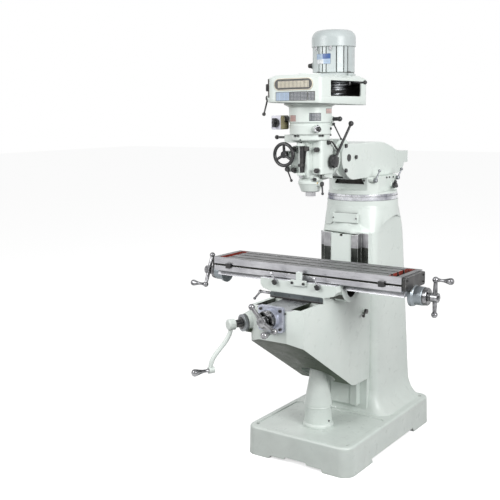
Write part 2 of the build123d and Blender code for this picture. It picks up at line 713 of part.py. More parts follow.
with BuildPart() as motor_gland:
    seat = (106 * terminal_dir[0], motor_y + 106 * terminal_dir[1], 1975)
    turned(seat, terminal_dir, ((0, 0), (13, 0), (13, 8), (11, 9), (11, 17), (8, 22), (0, 22)))
save(motor_gland, "motor_gland")

# Drum switch on the left of the gear housing
with BuildPart() as drum_switch:
    block((-153, -99), (-440, -368), (1666, 1733))
    fillet(drum_switch.edges().filter_by(Axis.Y), 9)
    block((-112, -70), (-404, -378), (1706, 1728))
    with Locations((0, spindle_y, 0)):
        Cylinder(103, 4000, mode=Mode.SUBTRACT)
    with Locations((switch_x, -440, switch_z)):
        Cylinder(6 + running_fit, 40, rotation=(90, 0, 0), mode=Mode.SUBTRACT)
save(drum_switch, "drum_switch")

with BuildPart() as drum_switch_knob:
    rod((switch_x, -422, switch_z), (switch_x, -446, switch_z), 6)
    turned((switch_x, -441, switch_z), (0, -1, 0), ((0, 0), (21, 0), (21, 5), (14, 9), (0, 9)))
    block((switch_x - 6, switch_x + 6), (-466, -446), (switch_z - 22, switch_z + 22))
save(drum_switch_knob, "drum_switch_knob")

# Quill, spindle and the controls on the head
with BuildPart() as quill:
    top = quill_bottom_z + quill_length
    bore = spindle_radius + running_fit
    turned((0, spindle_y, 0), (0, 0, 1), (
        (bore, quill_bottom_z), (quill_radius - 2, quill_bottom_z), (quill_radius, quill_bottom_z + 2),
        (quill_radius, top), (bore, top)))
save(quill, "quill")

with BuildPart() as spindle:
    turned((0, spindle_y, 0), (0, 0, 1), (
        (15.9, nose_z), (24, nose_z), (25, nose_z + 1), (25, quill_bottom_z - 0.3),
        (spindle_radius, quill_bottom_z - 0.3), (spindle_radius, quill_bottom_z + quill_length),
        (spline_radius, quill_bottom_z + quill_length), (spline_radius, belt_wall_top_z),
        (drawbar_radius, belt_wall_top_z), (drawbar_radius, 1440), (collet_radius, 1440),
        (collet_radius, nose_z + 25)))
save(spindle, "spindle")

with BuildPart() as depth_stop_screw:
    rod((0, stop_y, 1444), (0, stop_y, 1604), stop_radius)
    turned((0, stop_y, 1601), (0, 0, 1), ((0, 0), (10, 0), (10, 4), (8, 6), (0, 6)))
save(depth_stop_screw, "depth_stop_screw")

with BuildPart() as depth_stop_nut:
    turned((0, stop_y, stop_nut_z), (0, 0, 1), (
        (stop_radius + 0.1, 0), (12, 0), (14, 2), (14, 12), (12, 14), (stop_radius + 0.1, 14)))
save(depth_stop_nut, "depth_stop_nut")

with BuildPart() as quill_feed_lever:
    rod((feed_boss_x - 28, feed_axis_y, feed_axis_z), (feed_boss_x + 2, feed_axis_y, feed_axis_z), 12)
    turned((feed_boss_x + 0.4, feed_axis_y, feed_axis_z), (1, 0, 0), (
        (0, 0), (31, 0), (33, 3), (33, 18), (29, 26), (20, 31), (0, 33)))
    arm((feed_boss_x + 14, feed_axis_y, feed_axis_z), (165, -226, 1690), 7, 6, 13)
save(quill_feed_lever, "quill_feed_lever")

with BuildPart() as fine_feed_handwheel:
    rod((wheel_x, -370, wheel_z), (wheel_x, -408, wheel_z), 9)
    turned((wheel_x, -395, wheel_z), (0, -1, 0), ((0, 0), (17, 0), (17, 20), (13, 24), (0, 24)))
    with BuildSketch(Plane(origin=(wheel_x, -412, wheel_z), x_dir=(0, 0, 1), z_dir=(1, 0, 0))):
        with Locations((52.5, 0)):
            Circle(8.5)
    revolve(axis=Axis((wheel_x, 0, wheel_z), (0, 1, 0)))
    for angle in (90, 210, 330):
        tip = (wheel_x + 52 * cos(radians(angle)), -412, wheel_z + 52 * sin(radians(angle)))
        rod((wheel_x, -408, wheel_z), tip, 7.5, 6.5)
save(fine_feed_handwheel, "fine_feed_handwheel")

with BuildPart() as feed_engage_lever:
    rod((trip_x, -374, trip_z), (trip_x, -392, trip_z), 7)
    lever((trip_x, -390.4, trip_z), (0, -1, 0), 11, 12, (trip_x + 25, -398, trip_z - 54), 4, 7)
save(feed_engage_lever, "feed_engage_lever")

with BuildPart() as feed_rate_knob:
    arm((-76, spindle_y, rate_z), (-194, spindle_y, rate_z), 6, 6, 11)
save(feed_rate_knob, "feed_rate_knob")

with BuildPart() as feed_reverse_knob:
    inner = Vector(*reverse_seat) - Vector(*reverse_dir) * 18
    outer = Vector(*reverse_seat) + Vector(*reverse_dir) * 46
    arm(tuple(inner), tuple(outer), 8, 8, 12)
save(feed_reverse_knob, "feed_reverse_knob")

with BuildPart() as speed_range_lever:
    arm((84, range_y, 1713), (136, range_y, 1713), 9, 9, 12)
save(speed_range_lever, "speed_range_lever")

with BuildPart() as back_gear_lever:
    rod((89, range_y, back_gear_z), (102, range_y, back_gear_z), 4)
    lever((98.4, range_y, back_gear_z), (1, 0, 0), 7, 8, (112, -228, 1616), 3.5, 5.5)
save(back_gear_lever, "back_gear_lever")

with BuildPart() as brake_lever:
    rod((brake_x + 11, brake_y, brake_z), (brake_x - 4, brake_y, brake_z), 6)
    brake_tip = (brake_x - 15, brake_y - 20, brake_z - 76)
    lever((brake_x - 0.4, brake_y, brake_z), (-1, 0, 0), 12, 10, brake_tip, 4.5, 9)
save(brake_lever, "brake_lever")

with BuildPart() as belt_tension_lever:
    rod((tension_x, tension_y, tension_z - 6), (tension_x, tension_y, tension_z + 6), 11)
    arm((tension_x, tension_y, tension_z), (210, tension_y, tension_z), 5, 5, 10)
    with Locations((tension_x, tension_y, tension_z)):
        Cylinder(5 + running_fit, 40, mode=Mode.SUBTRACT)
save(belt_tension_lever, "belt_tension_lever")

with BuildPart() as quill_lock_lever:
    rod((lock_x - 14, lock_y, lock_z), (lock_x + 4, lock_y, lock_z), 6)
    lever((lock_x + 0.4, lock_y, lock_z), (1, 0, 0), 11, 10, (lock_x + 12, lock_y - 6, lock_z - 46), 4.5, 7)
save(quill_lock_lever, "quill_lock_lever")

# Knee: box casting on the column ways with dovetail ridge, screw cavity and crank boss
crank_dir = Vector(-sin(radians(crank_axis_angle)), -cos(radians(crank_axis_angle)), 0)


def on_crank(distance, drop=0):
    # Point along the knee crank's axis, moved down from it
    point = Vector(0, screw_y, crank_axis_z - drop) + crank_dir * distance
    return (point.X, point.Y, point.Z)


with BuildPart() as knee:
    with BuildSketch(Plane.XY.offset(300)):
        with BuildLine():
            Polyline((-knee_half, way_face_y - slide_gap), (-knee_half, knee_side_front_y),
                     (-78, knee_front_y), (78, knee_front_y), (knee_half, knee_side_front_y),
                     (knee_half, way_face_y - slide_gap), close=True)
        make_face()
    extrude(amount=knee_top_z - 300)
    with BuildSketch(Plane.YZ):
        with BuildLine():
            Polyline((knee_front_y - 5, knee_top_z + 5), (knee_front_y - 5, 690), (-640, 664), (-178, 364))
            Spline((-178, 364), (-130, 349), (-80, 346), tangents=((1, -0.63), (1, 0)))
            Polyline((-80, 346), (40, 346), (40, knee_top_z + 5), (knee_front_y - 5, knee_top_z + 5))
        make_face()
    extrude(amount=400, both=True, mode=Mode.INTERSECT)
    fillet(knee.edges().filter_by(Axis.Z).group_by(Axis.Y)[0], 20)
    rod(on_crank(320), on_crank(crank_boss_end), 78, 45)
    block((-guide_half - slide_gap, guide_half + slide_gap), (guide_face_y - slide_gap, 60), (300, 900),
          mode=Mode.SUBTRACT)
    for side in (1, -1):
        with BuildSketch(Plane.XZ.offset(-20)):
            with BuildLine():
                Polyline((side * ridge_half, knee_top_z + 1),
                         (side * (ridge_half - 18), knee_top_z - groove_depth),
                         (side * groove_outer, knee_top_z - groove_depth),
                         (side * groove_outer, knee_top_z + 1), close=True)
            make_face()
        extrude(amount=650, mode=Mode.SUBTRACT)
    with Locations((0, screw_y, 300)):
        Cylinder(86, 340, align=bottom_align, mode=Mode.SUBTRACT)
    with Locations((0, screw_y, 300)):
        Cylinder(elevating_screw_radius + running_fit, elevating_screw_top_z + 2 - 300,
                 align=bottom_align, mode=Mode.SUBTRACT)
    with Locations(Plane(origin=on_crank(crank_boss_end + 1), z_dir=crank_dir)):
        Cylinder(12 + running_fit, 130, mode=Mode.SUBTRACT)
    rod((knee_half - 2, -45, 725), (knee_half + 8, -45, 725), 14)
    with Locations((knee_half + 8, -45, 725)):
        Cylinder(7 + running_fit, 40, rotation=(0, 90, 0), mode=Mode.SUBTRACT)
    with Locations((0, knee_front_y, cross_axis_z)):
        Cylinder(12 + running_fit, 120, rotation=(90, 0, 0), mode=Mode.SUBTRACT)
save(knee, "knee")

with BuildPart() as elevating_screw:
    screw_bottom = elevating_screw_top_z - elevating_screw_length
    rod((0, screw_y, screw_bottom), (0, screw_y, elevating_screw_top_z), elevating_screw_radius)
    chamfer(elevating_screw.edges(), 2)
save(elevating_screw, "elevating_screw")

with BuildPart() as knee_crank:
    turned((0, screw_y, crank_axis_z), tuple(crank_dir), (
        (0, 372), (12, 372), (12, crank_boss_end + 0.4), (40, crank_boss_end + 0.4), (42, 428),
        (42, 445), (36, 447), (20, 450), (18, 484), (27, 488), (27, 518), (22, 522), (0, 522)))
    with BuildLine() as arm_path:
        Spline(on_crank(505, 8), on_crank(520, 58), on_crank(572, 116),
               on_crank(arm_reach - 2, 172), on_crank(arm_reach, arm_drop))
    with BuildSketch(Plane(origin=arm_path.line @ 0, z_dir=arm_path.line % 0)):
        Circle(11)
    sweep(path=arm_path.line)
    rod(on_crank(arm_reach - 14, arm_drop), on_crank(arm_reach + 14, arm_drop), 16)
    rod(on_crank(arm_reach, arm_drop), on_crank(arm_reach + 14 + grip_pin_length, arm_drop), grip_pin_radius)
save(knee_crank, "knee_crank")

with BuildPart() as knee_crank_grip:
    grip(on_crank(arm_reach + 14.4, arm_drop), tuple(crank_dir), 86, 14)
save(knee_crank_grip, "knee_crank_grip")

with BuildPart() as knee_lock_lever:
    rod((knee_half - 10, -45, 725), (knee_half + 12, -45, 725), 7)
    lever((knee_half + 8.4, -45, 725), (1, 0, 0), 12, 12, (knee_half + 26, -96, 712), 5, 8)
save(knee_lock_lever, "knee_lock_lever")

# Cross feed: bearing bracket on the knee, screw with dial and ball crank
with BuildPart() as cross_feed_bracket:
    with BuildSketch(Plane.XZ.offset(-knee_front_y)):
        with Locations((0, cross_axis_z)):
            RectangleRounded(138, 120, 12)
    extrude(amount=18)
    turned((0, knee_front_y - 18, cross_axis_z), (0, -1, 0), ((0, 0), (50, 0), (48, 8), (46, 22), (0, 22)))
    with Locations((0, knee_front_y, cross_axis_z)):
        Cylinder(12 + running_fit, 200, rotation=(90, 0, 0), mode=Mode.SUBTRACT)
save(cross_feed_bracket, "cross_feed_bracket")

with BuildPart() as cross_feed_screw:
    turned((0, knee_front_y, cross_axis_z), (0, -1, 0), (
        (0, -50), (12, -50), (12, 40.4), (43, 40.4), (46, 44), (46, 62), (42, 66), (22, 66),
        (20, 76), (24, 78), (24, 96), (20, 100), (0, 100)))
    arm((0, -758, cross_axis_z), cross_ball, 12, 9, 15)
    arm((0, -758, cross_axis_z), cross_end, 12, 9, 15)
    rod(cross_end, (cross_end[0], cross_end[1] - 15 - grip_pin_length, cross_end[2]), grip_pin_radius)
save(cross_feed_screw, "cross_feed_screw")

with BuildPart() as cross_crank_grip:
    grip((cross_end[0], cross_end[1] - 15.4, cross_end[2]), (0, -1, 0), 82, 13)
save(cross_crank_grip, "cross_crank_grip")

# Saddle: cross slide on the knee, table slide on top with half round wings
saddle_top_z = table_bottom_z - slide_gap
with BuildPart() as saddle:
    with BuildSketch(Plane.XZ.offset(-saddle_rear_y)):
        with BuildLine():
            Polyline((-apron_half, saddle_top_z), (-apron_half, 902), (-203, 884), (-knee_half, 870),
                     (-knee_half, knee_top_z + slide_gap), (knee_half, knee_top_z + slide_gap),
                     (knee_half, 870), (203, 884), (apron_half, 902), (apron_half, saddle_top_z), close=True)
        make_face()
    extrude(amount=saddle_rear_y - saddle_front_y)
    for side in (1, -1):
        with BuildSketch(Plane.XZ.offset(-saddle_rear_y)):
            with BuildLine():
                Polyline((side * (ridge_half + slide_gap), knee_top_z + slide_gap + 4),
                         (side * (ridge_half + slide_gap), knee_top_z),
                         (side * (ridge_half - 16), knee_top_z - groove_depth + 4),
                         (side * (groove_outer - slide_gap), knee_top_z - groove_depth + 4),
                         (side * (groove_outer - slide_gap), knee_top_z + slide_gap + 4), close=True)
            make_face()
        extrude(amount=saddle_rear_y - saddle_front_y)
    for side in (1, -1):
        with BuildSketch(Plane.YZ.offset(side * wing_root)):
            with Locations((table_y, saddle_top_z)):
                Circle(wing_radius)
            with Locations((table_y, saddle_top_z + wing_radius)):
                Rectangle(3 * wing_radius, 2 * wing_radius, mode=Mode.SUBTRACT)
        extrude(amount=side * (saddle_half - wing_root))
    with BuildSketch(Plane.YZ.offset(-saddle_half - 5)):
        with BuildLine():
            Polyline((table_y - dovetail_top_half - slide_gap, saddle_top_z + 1),
                     (table_y - dovetail_top_half - slide_gap, saddle_top_z),
                     (table_y - dovetail_bottom_half - slide_gap, saddle_top_z - dovetail_depth),
                     (table_y + dovetail_bottom_half + slide_gap, saddle_top_z - dovetail_depth),
                     (table_y + dovetail_top_half + slide_gap, saddle_top_z),
                     (table_y + dovetail_top_half + slide_gap, saddle_top_z + 1), close=True)
        make_face()
    extrude(amount=2 * saddle_half + 10, mode=Mode.SUBTRACT)
    with BuildSketch(Plane.YZ.offset(-saddle_half - 5)):
        with Locations((table_y, table_screw_z)):
            Circle(trough_radius)
    extrude(amount=2 * saddle_half + 10, mode=Mode.SUBTRACT)
    block((-nut_half, nut_half), (table_y - 22, table_y + 22), (856, 924))
    with Locations((0, table_y, table_screw_z)):
        Cylinder(12.3, 200, rotation=(0, 90, 0), mode=Mode.SUBTRACT)
    for x in (-122, 122):
        with Locations((x, saddle_front_y, 922)):
            Cylinder(6 + running_fit, 40, rotation=(90, 0, 0), mode=Mode.SUBTRACT)
    with Locations((-knee_half, -432, 856)):
        Cylinder(7 + running_fit, 40, rotation=(0, 90, 0), mode=Mode.SUBTRACT)
save(saddle, "saddle")

with BuildPart() as saddle_wiper:
    block((-knee_half - 9, knee_half - 3), (saddle_front_y - 6, saddle_front_y), (knee_top_z + 0.6, 872))
    fillet(saddle_wiper.edges().filter_by(Axis.Y).group_by(Axis.Z)[-1], 10)
save(saddle_wiper, "saddle_wiper")

for name, x in (("table_lock_lever_left", -122), ("table_lock_lever_right", 122)):
    with BuildPart() as table_lock_lever:
        rod((x, saddle_front_y + 18, 922), (x, saddle_front_y - 4, 922), 6)
        lever((x, saddle_front_y - 0.4, 922), (0, -1, 0), 12, 14, (x - 12, saddle_front_y - 26, 968), 5, 8)
    save(table_lock_lever, name)

with BuildPart() as saddle_lock_lever:
    arm((-knee_half + 18, -432, 856), (-234, -432, 856), 7, 7, 10)
    turned((-knee_half - 0.4, -432, 856), (-1, 0, 0), ((0, 0), (12, 0), (12, 12), (9, 16), (0, 16)))
    arm((-234, -432, 856), (-266, -438, 818), 6, 5, 8)
save(saddle_lock_lever, "saddle_lock_lever")

with BuildPart() as table_stop_bracket:
    with BuildSketch(Plane.YZ):
        with BuildLine():
            Polyline((saddle_front_y, 917), (saddle_front_y, 937), (saddle_front_y + 12, 949),
                     (saddle_front_y + 12, 984), (saddle_front_y - 12, 984), (saddle_front_y - 12, 917),
                     close=True)
        make_face()
    extrude(amount=22)
    block((-32, 54), (saddle_front_y - 12, saddle_front_y), (917, 945))
    fillet(table_stop_bracket.edges().filter_by(Axis.Y).group_by(Axis.Z)[0], 10)
save(table_stop_bracket, "table_stop_bracket")

# Table: slab with three tee slots, end troughs and a dovetail
table_half = table_length / 2
table_front_y = table_y - table_width / 2
table_rear_y = table_y + table_width / 2
with BuildPart() as table:
    with BuildSketch(Plane.YZ.offset(-table_half)):
        with BuildLine():
            Polyline((table_front_y, table_bottom_z + 3), (table_front_y, table_top_z),
                     (table_rear_y, table_top_z), (table_rear_y, table_bottom_z + 3),
                     (table_rear_y - 3, table_bottom_z), (table_y + dovetail_top_half, table_bottom_z),
                     (table_y + dovetail_bottom_half, table_bottom_z - dovetail_depth),
                     (table_y + screw_channel_half, table_bottom_z - dovetail_depth),
                     (table_y + screw_channel_half, table_bottom_z - 6),
                     (table_y - screw_channel_half, table_bottom_z - 6),
                     (table_y - screw_channel_half, table_bottom_z - dovetail_depth),
                     (table_y - dovetail_bottom_half, table_bottom_z - dovetail_depth),
                     (table_y - dovetail_top_half, table_bottom_z), (table_front_y + 3, table_bottom_z),
                     close=True)
        make_face()
    extrude(amount=table_length)
    for offset in (-tee_slot_spacing, 0, tee_slot_spacing):
        middle = table_y + offset
        block((-trough_inner, trough_inner), (middle - tee_slot_width / 2, middle + tee_slot_width / 2),
              (table_top_z - 30, table_top_z + 5), mode=Mode.SUBTRACT)
        block((-trough_inner, trough_inner), (middle - tee_slot_wide / 2, middle + tee_slot_wide / 2),
              (table_top_z - 30, table_top_z - 17), mode=Mode.SUBTRACT)
    for side in (1, -1):
        block(sorted((side * trough_inner, side * trough_outer)), (table_front_y + 12, table_rear_y - 12),
              (table_top_z - 30, table_top_z + 5), mode=Mode.SUBTRACT)
    block((-table_half - 5, table_half + 5), (table_front_y - 5, table_front_y + 8), (dog_z - 5, dog_z + 5),
          mode=Mode.SUBTRACT)
    block((-table_half - 5, table_half + 5), (table_front_y + 8, table_front_y + 16), (dog_z - 9, dog_z + 9),
          mode=Mode.SUBTRACT)
save(table, "table")

for name, side in (("table_end_bracket_left", -1), ("table_end_bracket_right", 1)):
    with BuildPart() as table_end_bracket:
        block(sorted((side * table_half, side * 551)), (-414, -201), (940, 1003))
        fillet(table_end_bracket.edges().filter_by(Axis.X), 10)
        turned((side * table_half, table_y, table_screw_z), (side, 0, 0), (
            (0, 0), (54, 0), (52, 14), (44, 24), (44, bracket_outer - table_half - 4),
            (40, bracket_outer - table_half), (0, bracket_outer - table_half)))
        with Locations((side * table_half, table_y, table_screw_z)):
            Cylinder(12 + running_fit, 300, rotation=(0, 90, 0), mode=Mode.SUBTRACT)
    save(table_end_bracket, name)

with BuildPart() as table_screw:
    rod((-screw_half - 12, table_y, table_screw_z), (screw_half, table_y, table_screw_z), 12)
    rod((left_hub - 20, table_y, table_screw_z), (right_hub + 22, table_y, table_screw_z), stub_radius)
    for side in (1, -1):
        turned((side * (bracket_outer + 0.4), table_y, table_screw_z), (side, 0, 0), (
            (0, 0), (40, 0), (42, 2), (42, 16), (38, 20), (20, 22), (20, 29), (0, 29)))
save(table_screw, "table_screw")

right_grip_end = (right_hub, table_y + 3, table_screw_z + 82)
right_ball_end = (right_hub, table_y - 3, table_screw_z - 80)
left_ball_end = (left_hub, table_y + 32, table_screw_z + 76)
left_grip_end = (left_hub, table_y - 32, table_screw_z - 76)
with BuildPart() as table_cranks:
    for hub, ends in ((right_hub, (right_grip_end, right_ball_end)),
                      (left_hub, (left_ball_end, left_grip_end))):
        rod((hub - 16, table_y, table_screw_z), (hub + 16, table_y, table_screw_z), 22)
        for end in ends:
            arm((hub, table_y, table_screw_z), end, 12, 9, 15)
    pin_reach = 15 + grip_pin_length
    rod(right_grip_end, (right_hub + pin_reach, right_grip_end[1], right_grip_end[2]), grip_pin_radius)
    rod(left_grip_end, (left_hub - pin_reach, left_grip_end[1], left_grip_end[2]), grip_pin_radius)
    with Locations((0, table_y, table_screw_z)):
        Cylinder(stub_radius, 2000, rotation=(0, 90, 0), mode=Mode.SUBTRACT)
save(table_cranks, "table_cranks")

with BuildPart() as table_grip_left:
    grip((left_hub - 15.4, left_grip_end[1], left_grip_end[2]), (-1, 0, 0), 84, 13)
save(table_grip_left, "table_grip_left")

with BuildPart() as table_grip_right:
    grip((right_hub + 15.4, right_grip_end[1], right_grip_end[2]), (1, 0, 0), 70, 13)
save(table_grip_right, "table_grip_right")

for name, x in (("stop_dog_left", -437), ("stop_dog_right", 437)):
    with BuildPart() as stop_dog:
        block((x - 15, x + 15), (table_front_y - 16, table_front_y - 0.3), (dog_z - 13, dog_z + 12))
        chamfer(stop_dog.edges().filter_by(Axis.Z), 4)
        block((x - 13, x + 13), (table_front_y - 2, table_front_y + 7.6), (dog_z - 4.7, dog_z + 4.7))
        block((x - 13, x + 13), (table_front_y + 8.4, table_front_y + 15.6), (dog_z - 8.6, dog_z + 8.6))
        block((x - 4, x + 4), (table_front_y, table_front_y + 12), (dog_z - 4, dog_z + 4))
    save(stop_dog, name)
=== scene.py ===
import math

import bmesh
import bpy
from mathutils import Matrix, Vector


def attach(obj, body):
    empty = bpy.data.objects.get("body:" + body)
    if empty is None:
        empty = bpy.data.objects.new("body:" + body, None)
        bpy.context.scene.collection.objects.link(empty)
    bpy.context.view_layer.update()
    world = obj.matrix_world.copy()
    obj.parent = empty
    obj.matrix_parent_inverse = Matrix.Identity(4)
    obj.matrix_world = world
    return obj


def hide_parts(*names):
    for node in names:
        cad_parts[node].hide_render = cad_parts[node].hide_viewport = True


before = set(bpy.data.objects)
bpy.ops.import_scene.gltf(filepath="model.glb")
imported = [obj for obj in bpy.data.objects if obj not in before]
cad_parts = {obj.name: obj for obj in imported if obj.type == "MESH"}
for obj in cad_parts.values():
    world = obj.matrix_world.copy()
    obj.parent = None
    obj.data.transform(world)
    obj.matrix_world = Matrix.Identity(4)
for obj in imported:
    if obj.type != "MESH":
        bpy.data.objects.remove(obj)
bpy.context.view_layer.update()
print("frame loaded:", len(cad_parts), "nodes")

scene = bpy.context.scene
scene.view_settings.view_transform = "Standard"


# Small tools for places and node trees

def mm(*values):  # millimetres of the machine's frame to metres
    return Vector(values) / 1000


def feed(tree, socket, value):  # a link or a plain value into a socket
    if isinstance(value, bpy.types.NodeSocket):
        tree.links.new(value, socket)
    else:
        socket.default_value = value


def put(tree, kind, inputs=None, **settings):  # one node with its settings, values and links
    node = tree.nodes.new(kind)
    for key, value in settings.items():
        setattr(node, key, value)
    for key, value in (inputs or {}).items():
        feed(tree, node.inputs[key], value)
    return node


def get(tree, kind, inputs=None, **settings):  # the same, and the node's first result
    return put(tree, kind, inputs, **settings).outputs[0]


def calc(tree, operation, *values, clamp=False):  # a Math node's result
    return get(tree, "ShaderNodeMath", dict(enumerate(values)), operation=operation, use_clamp=clamp)


def vectorCalc(tree, operation, a, b):  # a Vector Math node's outputs
    return put(tree, "ShaderNodeVectorMath", {0: a, 1: b}, operation=operation).outputs


def parts(tree, vector):  # the three numbers of a vector
    return put(tree, "ShaderNodeSeparateXYZ", {0: vector}).outputs


def noise(tree, point, scale, detail, **more):  # a Noise node's value
    return get(tree, "ShaderNodeTexNoise", {"Vector": point, "Scale": scale, "Detail": detail, **more})


def mixColour(tree, factor, a, b, blend="MIX"):
    node = put(tree, "ShaderNodeMix", {0: factor, 6: a, 7: b}, data_type="RGBA", blend_type=blend)
    return node.outputs[2]


def mixValue(tree, factor, a, b):
    return get(tree, "ShaderNodeMix", {0: factor, 2: a, 3: b}, data_type="FLOAT")


def spread(tree, value, fromLow, fromHigh, toLow=0.0, toHigh=1.0):  # clamped linear remap
    return get(tree, "ShaderNodeMapRange", {0: value, 1: fromLow, 2: fromHigh, 3: toLow, 4: toHigh})


def newGroup(name, kind, inputs, outputs):  # a node group whose sockets are listed by sort
    group = bpy.data.node_groups.new(name, kind)
    for way, sockets in (("INPUT", inputs), ("OUTPUT", outputs)):
        for sort, labels in sockets.items():
            for label in labels:
                group.interface.new_socket(name=label, in_out=way, socket_type="NodeSocket" + sort)
    return group, put(group, "NodeGroupInput").outputs, put(group, "NodeGroupOutput").inputs


def closeGroup(group, out, **results):  # the group's results go to its outputs
    for label, value in results.items():
        group.links.new(value, out[label])
    return group


# Camera, floor and light

cameraSetup = {
    "place": (2.1086, -3.7978, 1.7499),  # metres
    "azimuth": 35.537,  # degrees round from the front
    "pitch": 9.428,  # degrees down
    "roll": -0.766,
    "lens": 59.708,
    "sensor": 36.0,
}


def makeCamera(setup):
    turn = math.radians(setup["azimuth"])
    tilt = math.radians(setup["pitch"])
    roll = math.radians(setup["roll"])
    back = Vector((math.sin(turn) * math.cos(tilt), -math.cos(turn) * math.cos(tilt), math.sin(tilt)))
    right = (-back).cross(Vector((0, 0, 1))).normalized()
    up = right.cross(-back)
    across = right * math.cos(roll) + up * math.sin(roll)
    upright = up * math.cos(roll) - right * math.sin(roll)
    data = bpy.data.cameras.new("photoCamera")
    data.lens = setup["lens"]
    data.sensor_width = setup["sensor"]
    camera = bpy.data.objects.new("photoCamera", data)
    facing = Matrix((across, upright, back)).transposed().to_4x4()
    camera.matrix_world = Matrix.Translation(setup["place"]) @ facing
    scene.collection.objects.link(camera)
    scene.camera = camera


studio = {
    "ambient": 0.35,  # light of the room on diffuse surfaces
    "floorHalf": 30.0,  # metres
    "floorSeen": 0.86,  # colour of the floor as the camera sees it
    "floorLift": 0.66,  # brings the unshaded floor up to white
    "floorBounce": 0.07,  # what the floor throws back up
    "softboxes": {
        "overheadSoftbox": {"place": (1.4, -1.6, 4.0), "aim": (0, -0.2, 1.6), "size": 2.4, "power": 14.0},
        "sideSoftbox": {"place": (3.3, -1.5, 2.5), "aim": (0, 0, 1.5), "size": 2.0, "power": 110.0},
        "frontSoftbox": {"place": (-1.7, -3.6, 3.0), "aim": (0, -0.2, 1.8), "size": 2.2, "power": 88.0},
    },
}


def seenDirectly(tree):  # 1 for camera, mirror and glass rays
    path = put(tree, "ShaderNodeLightPath").outputs
    seen = calc(tree, "MAXIMUM", path["Is Camera Ray"], path["Is Glossy Ray"])
    return calc(tree, "MAXIMUM", seen, path["Is Transmission Ray"])


def makeRoom(setup):  # dim for bounced light, white where it is seen
    world = bpy.data.worlds.new("paleRoom")
    scene.world = world
    world.use_nodes = True
    tree = world.node_tree
    tree.nodes.clear()
    dim = get(tree, "ShaderNodeBackground", {"Color": (1, 1, 1, 1), "Strength": setup["ambient"]})
    white = get(tree, "ShaderNodeBackground", {"Color": (1, 1, 1, 1), "Strength": 1.0})
    mix = get(tree, "ShaderNodeMixShader", {0: seenDirectly(tree), 1: dim, 2: white})
    put(tree, "ShaderNodeOutputWorld", {"Surface": mix})


def makeFloor(setup):
    material = bpy.data.materials.new("paleFloor")
    material.use_nodes = True
    tree = material.node_tree
    tree.nodes.clear()
    seen, bounce = setup["floorSeen"], setup["floorBounce"]
    pale = get(tree, "ShaderNodeBsdfDiffuse", {"Color": (seen, seen, seen, 1)})
    lift = get(tree, "ShaderNodeEmission", {"Color": (1, 1, 1, 1), "Strength": setup["floorLift"]})
    shown = get(tree, "ShaderNodeAddShader", {0: pale, 1: lift})
    plain = get(tree, "ShaderNodeBsdfDiffuse", {"Color": (bounce, bounce, bounce, 1)})
    mix = get(tree, "ShaderNodeMixShader", {0: seenDirectly(tree), 1: plain, 2: shown})
    put(tree, "ShaderNodeOutputMaterial", {"Surface": mix})
    half = setup["floorHalf"]
    corners = [(-half, -half, 0), (half, -half, 0), (half, half, 0), (-half, half, 0)]
    mesh = bpy.data.meshes.new("studioFloor")
    mesh.from_pydata(corners, [], [(0, 1, 2, 3)])
    mesh.materials.append(material)
    floor = bpy.data.objects.new("studioFloor", mesh)
    scene.collection.objects.link(floor)


def makeSoftboxes(boxes):
    for name, box in boxes.items():
        data = bpy.data.lights.new(name, "AREA")
        data.shape = "SQUARE"
        data.size = box["size"]
        data.energy = box["power"]
        lamp = bpy.data.objects.new(name, data)
        toward = Vector(box["aim"]) - Vector(box["place"])
        facing = toward.to_track_quat("-Z", "Y").to_matrix().to_4x4()
        lamp.matrix_world = Matrix.Translation(box["place"]) @ facing
        scene.collection.objects.link(lamp)


makeCamera(cameraSetup)
makeRoom(studio)
makeFloor(studio)
makeSoftboxes(studio["softboxes"])
print("stage: camera, floor and", len(studio["softboxes"]), "softboxes")


# Shader groups that the finishes share

effectRanges = {  # values from which to which an effect goes, and what it then runs between
    # the edge values mark scuffed edges that also carry a painted highlight
    "drift": (0.36, 0.66), "gloss": (0.3, 0.7), "edge": (0.985, 0.84), "edgeBreakup": (0.35, 0.62, 0.15, 1.0),
    # corner, underside and height values give painted shade in corners and on undersides, and darker towards
    # the bottom
    "corner": (0.85, 0.35), "under": (-0.25, -0.8), "low": (0.95, 0.05, 0.0, 0.5),  # low is in metres up
    # dull lowers the specular where the painted shade and dirt fall
    "shadeGrimeSettings": (0.3, 0.7, 0.6, 1.0), "dull": (0.2, 0.9, 0.5, 0.04),
    "breakScale": 30.0, "glossScale": 23.0, "shadeGrimeScale": 14.0, "reach": 0.03,  # reach in metres
}


def makeSurfaceSkin():  # colour drift, grain and roughness of one finish
    group, given, out = newGroup("surfaceSkin", "ShaderNodeTree", {
        "Vector": ["Point", "Grain stretch"], "Color": ["Colour", "Tint"],
        "Float": ["Drift scale", "Grain scale", "Grain contrast", "Smooth", "Rough"]},
        {"Color": ["Colour"], "Float": ["Roughness", "Height"]})
    drift = noise(group, given["Point"], given["Drift scale"], 4.0)
    drifted = mixColour(group, spread(group, drift, *effectRanges["drift"]), given["Colour"], given["Tint"])
    stretched = vectorCalc(group, "MULTIPLY", given["Point"], given["Grain stretch"])[0]
    grain = noise(group, stretched, given["Grain scale"], 3.0, Roughness=0.6)
    centred = calc(group, "SUBTRACT", grain, 0.5)
    shade = calc(group, "MULTIPLY_ADD", centred, given["Grain contrast"], 1.0)
    grey = get(group, "ShaderNodeCombineColor", {0: shade, 1: shade, 2: shade})
    gloss = calc(group, "MULTIPLY_ADD", centred, 0.6, noise(group, given["Point"], effectRanges["glossScale"], 5.0))
    return closeGroup(group, out, Colour=mixColour(group, 1.0, drifted, grey, "MULTIPLY"), Height=grain,
                      Roughness=spread(group, gloss, *effectRanges["gloss"], given["Smooth"], given["Rough"]))


